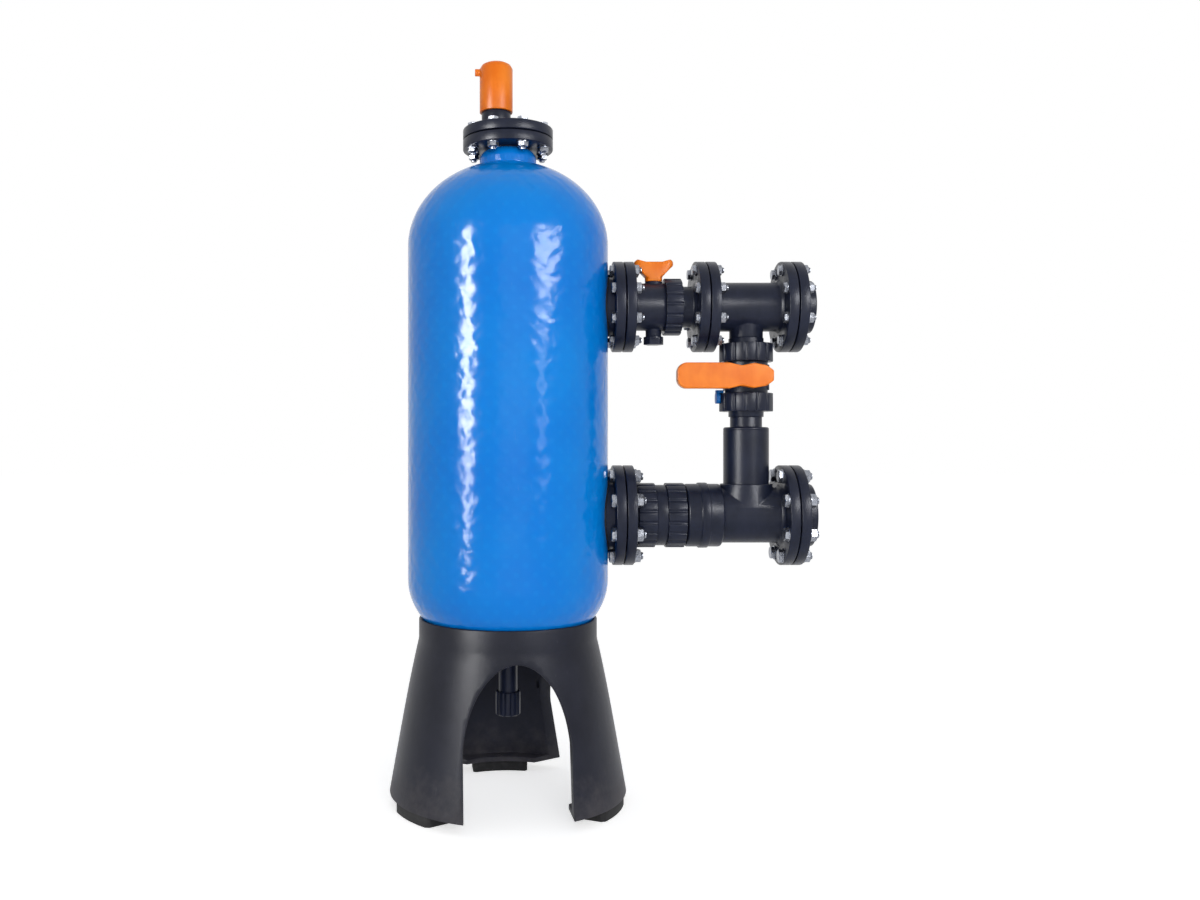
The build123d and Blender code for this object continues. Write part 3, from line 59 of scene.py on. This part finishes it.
class Value:
    """What a shader node gives out. Arithmetic on it adds the Math nodes."""

    def __init__(self, finish, socket):
        self.finish = finish
        self.socket = socket

    def maths(self, operation, *values):
        inputs = dict(enumerate(values))
        return self.finish.node("ShaderNodeMath", {"operation": operation}, inputs)

    def __add__(self, other):
        return self.maths("ADD", self, other)

    def __radd__(self, other):
        return self.maths("ADD", other, self)

    def __sub__(self, other):
        return self.maths("SUBTRACT", self, other)

    def __rsub__(self, other):
        return self.maths("SUBTRACT", other, self)

    def __mul__(self, other):
        return self.maths("MULTIPLY", self, other)

    def __rmul__(self, other):
        return self.maths("MULTIPLY", other, self)

    def __truediv__(self, other):
        return self.maths("DIVIDE", self, other)

    def __pow__(self, other):
        return self.maths("POWER", self, other)

    def sine(self):
        return self.maths("SINE", self)

    def size(self):
        return self.maths("ABSOLUTE", self)

    def at_least(self, other):
        return self.maths("MAXIMUM", self, other)


class Finish:
    """One material being built, with its shader and the piece's own coordinates."""

    def __init__(self, name, **constants):
        self.material = bpy.data.materials.new(name)
        self.material.use_nodes = True
        self.tree = self.material.node_tree
        self.shader = self.tree.nodes["Principled BSDF"]
        for socket, value in constants.items():
            self.shader.inputs[socket.replace("_", " ")].default_value = value
        self.place = self.node("ShaderNodeTexCoord", {}, {}, "Object")

    def node(self, kind, settings, inputs, output=0):
        made = self.tree.nodes.new(kind)
        for name, value in settings.items():
            if name == "stops":
                self.set_stops(made.color_ramp, value)
            else:
                setattr(made, name, value)
        for socket, value in inputs.items():
            self.feed(made.inputs[socket], value)
        return Value(self, made.outputs[output])

    def feed(self, socket, value):
        if isinstance(value, Value):
            self.tree.links.new(value.socket, socket)
        else:
            socket.default_value = value

    def set_stops(self, ramp, stops):
        while len(ramp.elements) < len(stops):
            ramp.elements.new(1.0)
        for element, (position, level) in zip(ramp.elements, stops):
            element.position = position
            element.color = (level, level, level, 1.0)

    def noise(self, scale, detail=2.0, rough=0.5, stretch=None, warp=0.0):
        """Cloudy values from 0 to 1, in patches 1 / scale metres wide."""
        place = self.place
        if stretch:
            place = self.node("ShaderNodeMapping", {}, {"Vector": place, "Scale": stretch})
        inputs = {"Vector": place, "Scale": scale, "Detail": detail, "Roughness": rough, "Distortion": warp}
        return self.node("ShaderNodeTexNoise", {}, inputs)

    def cells(self, scale, settings, output="Distance"):
        return self.node("ShaderNodeTexVoronoi", settings, {"Vector": self.place, "Scale": scale}, output)

    def spread(self, value, low, high):
        """The value cut to a band and stretched to run from 0 to 1 across it."""
        inputs = {"Value": value, "From Min": low, "From Max": high}
        return self.node("ShaderNodeMapRange", {"interpolation_type": "SMOOTHSTEP"}, inputs)

    def parts(self):
        """The three coordinates on their own."""
        made = self.node("ShaderNodeSeparateXYZ", {}, {"Vector": self.place})
        return [Value(self, made.socket.node.outputs[axis]) for axis in "XYZ"]

    def blend(self, share, first, second):
        inputs = {"Factor": share, "A": first, "B": second}
        settings = {"data_type": "RGBA"}
        made = self.tree.nodes.new("ShaderNodeMix")
        made.data_type = settings["data_type"]
        colours = {"Factor": made.inputs[0], "A": made.inputs[6], "B": made.inputs[7]}
        for name, value in inputs.items():
            self.feed(colours[name], value)
        return Value(self, made.outputs[2])

    def set(self, socket, value):
        self.feed(self.shader.inputs[socket], value)

    def relief(self, height, depth):
        """Bumps the surface by a height that runs from 0 to 1, depth metres deep."""
        inputs = {"Height": height, "Distance": depth, "Strength": 1.0}
        self.set("Normal", self.node("ShaderNodeBump", {}, inputs))


def rgb(red, green, blue):
    """A colour as it is seen on a screen, from 0 to 255, made linear."""
    levels = [level / 255 for level in (red, green, blue)]
    return (*[v / 12.92 if v <= 0.04045 else ((v + 0.055) / 1.055) ** 2.4 for v in levels], 1.0)


# Finishes

VESSEL_R = 0.254
WINDINGS = 36


def gelcoat():
    """Blue gelcoat over wound fibre: crossing bands show through it and break up its gloss."""
    f = Finish("vessel_gelcoat", Specular_IOR_Level=0.16)
    x, y, z = f.parts()
    turn = f.node("ShaderNodeMath", {"operation": "ARCTAN2"}, {0: y, 1: x})
    drift = f.noise(9.0, 2.0)
    climb = z * (WINDINGS / VESSEL_R)
    bands = ((turn * WINDINGS + climb + drift * 5.0).sine() + (turn * WINDINGS - climb + drift * 4.0).sine()) * 0.25
    threads = (turn * (9 * WINDINGS) + climb * 9.0 + drift * 22.0).sine() * 0.5
    waves = f.noise(26.0, 1.5, 0.45, warp=0.4)
    peel = f.noise(420.0, 2.0)
    height = waves * 1.0 + bands * 0.16 + threads * 0.012 + peel * 0.022
    f.relief(height, 0.0022)
    clouds = f.noise(3.2, 3.0)
    base = f.blend(f.spread(clouds, 0.3, 0.72), rgb(0, 122, 221), rgb(4, 136, 229))
    base = f.blend(f.spread(bands, 0.12, 0.5) * 0.22, base, rgb(16, 146, 232))
    scuffs = f.spread(f.noise(60.0, 6.0, 0.65, stretch=(1, 1, 0.3)), 0.66, 0.78)
    f.set("Base Color", f.blend(scuffs * 0.10, base, rgb(120, 180, 230)))
    f.set("Roughness", f.noise(14.0, 3.0) * 0.10 + scuffs * 0.12 + 0.10)
    return f.material


def moulded(name, dark, light, grain, rough, relief):
    """Injection-moulded plastic: a fine spark-eroded grain, slow flow clouds and scuffs."""
    f = Finish(name, Specular_IOR_Level=0.18)
    clouds = f.noise(16.0, 3.0)
    flow = f.noise(40.0, 4.0, 0.6, stretch=(1, 1, 0.25), warp=0.6)
    base = f.blend(f.spread(clouds * 0.6 + flow * 0.4, 0.34, 0.66), dark, light)
    scratches = f.spread(f.noise(90.0, 8.0, 0.7, stretch=(1, 0.25, 1), warp=1.2), 0.64, 0.76)
    pale = tuple(min(1.0, 1.6 * level + 0.02) for level in light[:3]) + (1.0,)
    f.set("Base Color", f.blend(scratches * 0.35, base, pale))
    f.set("Roughness", flow * 0.14 + scratches * 0.15 + rough)
    f.relief(f.noise(grain, 2.0) * 0.6 + flow * 0.4, relief)
    return f.material


def stand_plastic():
    """Black rotation-moulded plastic, paler towards the floor from dust and painted light, and paler where it has been
    rubbed.
    """
    f = Finish("stand_plastic", Specular_IOR_Level=0.14)
    _, _, z = f.parts()
    clouds = f.noise(7.0, 4.0, 0.6)
    pores = f.noise(500.0, 2.0)
    base = f.blend(f.spread(clouds, 0.3, 0.7), rgb(28, 30, 41), rgb(36, 38, 50))
    # Dust and painted light: low faces, including the rear leg's inner face, are blended towards pale grey standing in
    # for the light that falls on them.
    dust_and_painted_light = f.spread(f.noise(22.0, 6.0, 0.65) * 0.5 + (0.16 - z) * 2.2, 0.28, 0.75)
    base = f.blend(dust_and_painted_light * 0.5, base, rgb(104, 100, 102))
    rubbed = f.spread(f.noise(55.0, 7.0, 0.7, stretch=(1, 1, 0.3)), 0.63, 0.76)
    f.set("Base Color", f.blend(rubbed * 0.3, base, rgb(92, 93, 102)))
    f.set("Roughness", clouds * 0.16 + dust_and_painted_light * 0.25 + 0.3)
    f.relief(pores * 0.5 + f.noise(30.0, 2.0) * 0.5, 0.0006)
    return f.material


def zinc():
    """Bright zinc on turned steel, with fine turning marks and a few dull spots."""
    f = Finish("zinc_steel")
    spangle = f.cells(420.0, {"feature": "F1"}, "Color")
    tone = f.node("ShaderNodeSeparateColor", {}, {"Color": spangle})
    dull = f.spread(f.noise(160.0, 5.0, 0.6), 0.5, 0.7)
    base = f.blend(tone, rgb(128, 132, 142), rgb(160, 163, 170))
    f.set("Base Color", f.blend(dull * 0.5, base, rgb(104, 104, 108)))
    f.set("Metallic", 1.0 - dull * 0.25)
    f.set("Roughness", tone * 0.08 + dull * 0.25 + 0.24)
    f.relief(f.noise(900.0, 3.0) * 0.6 + tone * 0.4, 0.00012)
    return f.material


def rubber():
    """Black sheet rubber with a matt, slightly dusty skin."""
    f = Finish("sheet_rubber", Specular_IOR_Level=0.3)
    bloom = f.spread(f.noise(45.0, 5.0, 0.65), 0.4, 0.75)
    f.set("Base Color", f.blend(bloom, rgb(24, 24, 26), rgb(46, 46, 48)))
    f.set("Roughness", bloom * 0.15 + 0.7)
    f.relief(f.noise(800.0, 2.0), 0.0002)
    return f.material


def grains(name, scale, dark, light, depth):
    """A bed of loose grains, each with its own tone, with painted shade in the gaps between them."""
    f = Finish(name, Specular_IOR_Level=0.3)
    edges = f.cells(scale, {"feature": "F1"})
    tone = f.node("ShaderNodeSeparateColor", {}, {"Color": f.cells(scale, {"feature": "F1"}, "Color")})
    base = f.blend(tone, dark, light)
    # Painted shade: the colour darkens towards brown near the cell edges, where the grains meet.
    f.set("Base Color", f.blend(f.spread(edges, 0.45, 0.95) * 0.7, base, rgb(60, 50, 40)))
    f.set("Roughness", tone * 0.2 + 0.7)
    f.relief(1.0 - edges, depth)
    return f.material


FINISHES = {
    "tank_blue": gelcoat(),
    "stand_black": stand_plastic(),
    "pipe_black": moulded("pipe_plastic", rgb(24, 29, 45), rgb(33, 38, 56), 700.0, 0.24, 0.0004),
    "orange_plastic": moulded("orange_plastic", rgb(243, 118, 18), rgb(255, 138, 34), 600.0, 0.26, 0.0004),
    "clip_blue": moulded("clip_plastic", rgb(6, 92, 168), rgb(14, 108, 186), 700.0, 0.3, 0.0003),
    "rubber_black": rubber(),
    "zinc_steel": zinc(),
    "ball_plastic": moulded("ball_plastic", rgb(118, 120, 124), rgb(134, 136, 140), 500.0, 0.18, 0.0002),
    "seat_plastic": moulded("seat_plastic", rgb(220, 220, 216), rgb(236, 236, 230), 500.0, 0.4, 0.0002),
    "float_plastic": moulded("float_plastic", rgb(206, 206, 200), rgb(222, 222, 216), 500.0, 0.45, 0.0003),
    "inner_plastic": moulded("inner_plastic", rgb(150, 152, 154), rgb(166, 168, 170), 500.0, 0.4, 0.0004),
    "sand": grains("filter_sand", 900.0, rgb(170, 140, 98), rgb(222, 196, 150), 0.0008),
    "gravel": grains("filter_gravel", 130.0, rgb(120, 108, 92), rgb(190, 180, 164), 0.006),
}
for part in frame["record"]["subparts"]:
    node = frame["nodes"][part["node"]]
    node.data.materials.clear()
    node.data.materials.append(FINISHES[part["material_slot"]])


# Moulded parts with their edges rounded, as they leave the mould

def finished(name, mesh, slot, body, *nodes):
    """A new piece that stands for CAD nodes, with its finish and the body it rides on."""
    piece = bpy.data.objects.new(name, mesh)
    bpy.context.collection.objects.link(piece)
    mesh.materials.clear()
    mesh.materials.append(FINISHES[slot])
    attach(piece, body)
    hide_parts(*nodes)
    return piece


def smooth_shaded(mesh, crease):
    """Smooth shading that breaks only where faces meet at more than the crease angle."""
    mesh.polygons.foreach_set("use_smooth", [True] * len(mesh.polygons))
    mesh.set_sharp_from_angle(angle=math.radians(crease))


def rounded(node, width, crease=30.0):
    """The CAD node's own shape with its sharp edges rounded to about the width, in place of it."""
    shape = bmesh.new()
    shape.from_mesh(frame["nodes"][node].data)
    bmesh.ops.remove_doubles(shape, verts=shape.verts, dist=1e-5)
    bmesh.ops.dissolve_limit(shape, angle_limit=math.radians(0.4), verts=shape.verts, edges=shape.edges)
    sharp = [edge for edge in shape.edges if len(edge.link_faces) == 2 and edge.calc_face_angle(0.0) > math.radians(crease)]
    bmesh.ops.bevel(shape, geom=sharp, offset=width, segments=2, profile=0.5, affect="EDGES", clamp_overlap=False)
    bmesh.ops.triangulate(shape, faces=[face for face in shape.faces if len(face.verts) > 4])
    mesh = bpy.data.meshes.new(node + "_moulded")
    shape.to_mesh(mesh)
    shape.free()
    smooth_shaded(mesh, 38.0)
    return finished(node + "_moulded", mesh, SLOTS[node], BODY_OF[node], node)


SLOTS = {part["node"]: part["material_slot"] for part in frame["record"]["subparts"]}
BODY_OF = {node: body for body, nodes in frame["record"]["behaviour"]["bodies"].items() for node in nodes}
EDGE_ROUNDS = {
    "stand": 0.0028,
    "stand_feet": 0.002,
    "closure_flange": 0.0018,
    "closure_lid": 0.0018,
    "air_valve_base": 0.0012,
    "air_valve_body": 0.0014,
    "drain_cap": 0.001,
    "inlet_port_fitting": 0.0018,
    "inlet_valve_body": 0.0018,
    "inlet_valve_handle": 0.0024,
    "inlet_valve_union_nut": 0.0012,
    "inlet_valve_tail": 0.0018,
    "inlet_valve_plug": 0.001,
    "inlet_tee": 0.0018,
    "inlet_header_flange": 0.0018,
    "bypass_valve_body": 0.0012,
    "bypass_lever": 0.0028,
    "bypass_union_nuts": 0.0012,
    "bypass_tails": 0.001,
    "union_nut_lock": 0.0012,
    "bypass_reducer": 0.0015,
    "outlet_port_fitting": 0.0018,
    "check_flange_end": 0.0018,
    "check_union_nuts": 0.0012,
    "check_body": 0.0012,
    "check_tail": 0.0012,
    "outlet_coupling": 0.0015,
    "outlet_tee": 0.0018,
    "outlet_header_flange": 0.0018,
}
for node, width in EDGE_ROUNDS.items():
    rounded(node, width)


# Flange bolts

STEPS = 48
THREAD_PITCH = 0.002
WASHER_T = 0.0025


def ring_of(shape, radius_at, height_at):
    """One closed ring of points, its radius and height given for each turn."""
    turns = [math.tau * n / STEPS for n in range(STEPS)]
    return [shape.verts.new((radius_at(t) * math.cos(t), radius_at(t) * math.sin(t), height_at(t))) for t in turns]


def skin(shape, rings):
    """Faces between each ring and the next, closed at both ends."""
    for low, high in zip(rings, rings[1:]):
        for n in range(STEPS):
            shape.faces.new((low[n], low[(n + 1) % STEPS], high[(n + 1) % STEPS], high[n]))
    shape.faces.new(rings[0][::-1])
    shape.faces.new(rings[-1])


def hexagon(shape, across, low, high, start, chamfer_low, chamfer_high):
    """Hexagon head or nut, its corners turned off by a cone at the ends that ask for it."""
    half = across / 2
    crown = 0.95 * half

    def flat_r(turn):
        sixth = (turn + start) % (math.tau / 6) - math.tau / 12
        return half / math.cos(sixth)

    def cut(turn):
        return (flat_r(turn) - crown) * math.tan(math.radians(30))

    rings = []
    if chamfer_low:
        rings.append(ring_of(shape, lambda t: crown, lambda t: low))
    rings.append(ring_of(shape, flat_r, lambda t: low + cut(t) * chamfer_low))
    rings.append(ring_of(shape, flat_r, lambda t: high - cut(t) * chamfer_high))
    if chamfer_high:
        rings.append(ring_of(shape, lambda t: crown, lambda t: high))
    skin(shape, rings)


def disc(shape, profile):
    """Round piece turned from (radius, height) steps."""
    skin(shape, [ring_of(shape, lambda t, r=r: r, lambda t, z=z: z) for r, z in profile])


def flange_bolt(radius, across, head, grip, nut, end):
    """Hexagon bolt, two washers and a nut, with its thread showing past the nut."""
    shape = bmesh.new()
    hexagon(shape, across, -head, -WASHER_T, 0.0, 1, 0)
    hexagon(shape, across, grip + WASHER_T, grip + nut, 0.4, 0, 1)
    washer_r = across * 0.6
    for low in (-WASHER_T, grip):
        lip = 0.0004
        disc(shape, [(washer_r - lip, low), (washer_r, low + lip), (washer_r, low + WASHER_T - lip), (washer_r - lip, low + WASHER_T)])
    root = radius - THREAD_PITCH * 0.5
    thread = [(root, grip + nut - THREAD_PITCH)]
    height = grip + nut - THREAD_PITCH
    while height + THREAD_PITCH < grip + nut + end:
        thread += [(radius, height + THREAD_PITCH / 2), (root, height + THREAD_PITCH)]
        height += THREAD_PITCH
    thread.append((root - THREAD_PITCH / 4, grip + nut + end))
    disc(shape, thread)
    bmesh.ops.recalc_face_normals(shape, faces=shape.faces)
    mesh = bpy.data.meshes.new("flange_bolt")
    shape.to_mesh(mesh)
    shape.free()
    smooth_shaded(mesh, 28.0)
    return bpy.data.objects.new("flange_bolt", mesh)


def circle_tree():
    """Geometry Nodes: one fastener at each hole of a flange, each turned by its own amount."""
    tree = bpy.data.node_groups.new("fasteners_round_a_flange", "GeometryNodeTree")
    sizes = [("Fastener", "Object"), ("Circle radius", "Float"), ("Holes", "Int"), ("Finish", "Material")]
    for name, kind in sizes:
        tree.interface.new_socket(name=name, in_out="INPUT", socket_type="NodeSocket" + kind)
    tree.interface.new_socket(name="Geometry", in_out="OUTPUT", socket_type="NodeSocketGeometry")
    given = tree.nodes.new("NodeGroupInput")
    circle = tree.nodes.new("GeometryNodeMeshCircle")
    pitch = tree.nodes.new("ShaderNodeMath")
    pitch.operation = "DIVIDE"
    pitch.inputs[0].default_value = math.pi
    start = tree.nodes.new("ShaderNodeCombineXYZ")
    turned = tree.nodes.new("GeometryNodeTransform")
    fastener = tree.nodes.new("GeometryNodeObjectInfo")
    own_turn = tree.nodes.new("FunctionNodeRandomValue")
    own_turn.data_type = "FLOAT"
    own_turn.inputs["Max"].default_value = math.tau
    own_turn.inputs["Seed"].default_value = 7
    spun = tree.nodes.new("ShaderNodeCombineXYZ")
    placed = tree.nodes.new("GeometryNodeInstanceOnPoints")
    real = tree.nodes.new("GeometryNodeRealizeInstances")
    painted = tree.nodes.new("GeometryNodeSetMaterial")
    result = tree.nodes.new("NodeGroupOutput")
    link = tree.links.new
    link(given.outputs["Holes"], circle.inputs["Vertices"])
    link(given.outputs["Circle radius"], circle.inputs["Radius"])
    link(given.outputs["Holes"], pitch.inputs[1])
    link(pitch.outputs[0], start.inputs["Z"])
    link(circle.outputs["Mesh"], turned.inputs["Geometry"])
    link(start.outputs[0], turned.inputs["Rotation"])
    link(given.outputs["Fastener"], fastener.inputs["Object"])
    link(own_turn.outputs["Value"], spun.inputs["Z"])
    link(turned.outputs["Geometry"], placed.inputs["Points"])
    link(fastener.outputs["Geometry"], placed.inputs["Instance"])
    link(spun.outputs[0], placed.inputs["Rotation"])
    link(placed.outputs["Instances"], real.inputs["Geometry"])
    link(real.outputs["Geometry"], painted.inputs["Geometry"])
    link(given.outputs["Finish"], painted.inputs["Material"])
    link(painted.outputs["Geometry"], result.inputs["Geometry"])
    return tree


def filled(tree, **values):
    """The mesh that a tree makes from these inputs."""
    holder = bpy.data.objects.new("holder", bpy.data.meshes.new("holder"))
    bpy.context.collection.objects.link(holder)
    made = holder.modifiers.new("tree", "NODES")
    made.node_group = tree
    sockets = {item.name.replace(" ", "_").lower(): item.identifier for item in tree.interface.items_tree if item.in_out == "INPUT"}
    for name, value in values.items():
        made[sockets[name]] = value
    bpy.context.view_layer.update()
    mesh = bpy.data.meshes.new_from_object(holder.evaluated_get(bpy.context.evaluated_depsgraph_get()))
    holder.modifiers.remove(made)
    bpy.data.objects.remove(holder)
    return mesh


HOLES = 8
FLANGE_T = 0.024
GASKET = 0.003
FLANGE_PAIR = 2 * FLANGE_T + GASKET
M16 = {"radius": 0.008, "across": 0.024, "head": 0.010, "grip": FLANGE_PAIR, "nut": 0.013, "end": 0.006}
M20 = {"radius": 0.010, "across": 0.030, "head": 0.012, "grip": FLANGE_PAIR, "nut": 0.016, "end": 0.006}


def at_flange(node):
    """Where the fasteners of a node's right-hand flange start, pointing along the line."""
    low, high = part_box(node)
    return Matrix.Translation((high.x - FLANGE_T, 0, (low.z + high.z) / 2)) @ Matrix.Rotation(math.radians(90), 4, "Y")


def on_the_lid():
    """Where the closure's fasteners start, pointing down."""
    lid_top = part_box("closure_flange")[1].z + GASKET + FLANGE_T
    return Matrix.Translation((0, 0, lid_top)) @ Matrix.Rotation(math.radians(180), 4, "X")


def bolt_piece(name, tree, bolt, circle_r, places, *nodes):
    """All the bolts of one size: a circle of them at each place."""
    fastener = flange_bolt(**bolt)
    bpy.context.collection.objects.link(fastener)
    ring = filled(tree, fastener=fastener, circle_radius=circle_r, holes=HOLES, finish=FINISHES["zinc_steel"])
    shape = bmesh.new()
    for place in places:
        copy = ring.copy()
        copy.transform(place)
        shape.from_mesh(copy)
        bpy.data.meshes.remove(copy)
    mesh = bpy.data.meshes.new(name)
    shape.to_mesh(mesh)
    shape.free()
    smooth_shaded(mesh, 28.0)
    bpy.data.objects.remove(fastener)
    return finished(name, mesh, "zinc_steel", "filter", *nodes)


circle_of_fasteners = circle_tree()
small_places = [on_the_lid()] + [at_flange(node) for node in ("inlet_port_fitting", "inlet_valve_tail", "inlet_tee")]
large_places = [at_flange(node) for node in ("outlet_port_fitting", "outlet_tee")]
bolt_piece("flange_bolts_m16", circle_of_fasteners, M16, 0.09525, small_places, "bolts_m16", "nuts_m16")
bolt_piece("flange_bolts_m20", circle_of_fasteners, M20, 0.10795, large_places, "bolts_m20", "nuts_m20")


# Studio

def look(obj, target):
    obj.rotation_euler = (Vector(target) - obj.location).to_track_quat("-Z", "Y").to_euler()


def soft_box(name, turn, distance, low, high, width, radiance):
    """An upright soft box at a turn from the front, to the right if the turn is positive."""
    data = bpy.data.lights.new(name, "AREA")
    data.shape = "RECTANGLE"
    data.size = width
    data.size_y = high - low
    data.energy = radiance * math.pi * width * (high - low)
    light = bpy.data.objects.new(name, data)
    bpy.context.collection.objects.link(light)
    side = math.radians(turn)
    middle = (low + high) / 2
    light.location = (distance * math.sin(side), -distance * math.cos(side), middle)
    look(light, (0, 0, middle))
    return light


def fill_light(name, turn, distance, low, high, width, radiance):
    """A broad box that only lights: gloss doesn't show it."""
    soft_box(name, turn, distance, low, high, width, radiance).visible_glossy = False


def streak_light(name, turn, distance, low, high, width, radiance):
    """A box that only gloss shows, for the streaks down the vessel."""
    soft_box(name, turn, distance, low, high, width, radiance).visible_diffuse = False


def floor():
    data = bpy.data.meshes.new("floor")
    reach = 30.0
    corners = [(-reach, -reach, 0), (reach, -reach, 0), (reach, reach, 0), (-reach, reach, 0)]
    data.from_pydata(corners, [], [(0, 1, 2, 3)])
    ground = bpy.data.objects.new("floor", data)
    bpy.context.collection.objects.link(ground)
    f = Finish("floor_paint", Specular_IOR_Level=0.0, Roughness=0.9, Base_Color=(0.9, 0.9, 0.9, 1.0))
    path = f.node("ShaderNodeLightPath", {}, {})
    seen = seen_rays(f, path)
    f.set("Emission Color", (1.0, 1.0, 1.0, 1.0))
    f.set("Emission Strength", seen * FLOOR_GLOW)
    data.materials.append(f.material)


def seen_rays(finish, path):
    """1 for rays from the camera, mirrors and clear things, which see the plain background."""
    rays = [Value(finish, path.socket.node.outputs[name]) for name in ("Is Camera Ray", "Is Glossy Ray", "Is Transmission Ray")]
    return rays[0].at_least(rays[1]).at_least(rays[2])


WORLD_LIGHT = 0.45
FLOOR_GLOW = 0.6


def world():
    made = bpy.data.worlds.new("studio")
    bpy.context.scene.world = made
    made.use_nodes = True
    tree = made.node_tree
    background = tree.nodes["Background"]
    path = tree.nodes.new("ShaderNodeLightPath")
    seen = tree.nodes.new("ShaderNodeMath")
    seen.operation = "MAXIMUM"
    either = tree.nodes.new("ShaderNodeMath")
    either.operation = "MAXIMUM"
    tree.links.new(path.outputs["Is Camera Ray"], seen.inputs[0])
    tree.links.new(path.outputs["Is Glossy Ray"], seen.inputs[1])
    tree.links.new(seen.outputs[0], either.inputs[0])
    tree.links.new(path.outputs["Is Transmission Ray"], either.inputs[1])
    level = tree.nodes.new("ShaderNodeMapRange")
    level.inputs["To Min"].default_value = WORLD_LIGHT
    level.inputs["To Max"].default_value = 1.0
    tree.links.new(either.outputs[0], level.inputs["Value"])
    tree.links.new(level.outputs[0], background.inputs["Strength"])
    background.inputs["Color"].default_value = (1, 1, 1, 1)


def camera():
    data = bpy.data.cameras.new("camera")
    data.sensor_width = 36.0
    data.lens = 32.3
    data.shift_x = 0.0767
    data.shift_y = -0.0033
    data.clip_start = 0.05
    data.clip_end = 200.0
    eye = bpy.data.objects.new("camera", data)
    bpy.context.collection.objects.link(eye)
    eye.location = (0.0, -2.746, 0.896)
    eye.rotation_euler = (math.radians(90), 0, 0)
    bpy.context.scene.camera = eye


camera()
world()
floor()
fill_light("front_fill", 8.0, 4.5, 0.3, 2.9, 2.6, 4.8)
streak_light("left_streak", -44.0, 3.0, 0.95, 2.2, 0.56, 70.0)
streak_light("left_low_streak", -44.0, 3.0, 0.33, 0.95, 0.36, 42.0)
streak_light("right_streak", 43.0, 3.0, 1.86, 2.25, 1.5, 34.0)
streak_light("right_middle_streak", 40.0, 3.0, 1.6, 1.86, 0.9, 30.0)
streak_light("right_low_streak", 37.0, 3.0, 0.75, 1.5, 0.3, 9.0)
bpy.context.scene.view_settings.view_transform = "Standard"

bpy.context.view_layer.update()
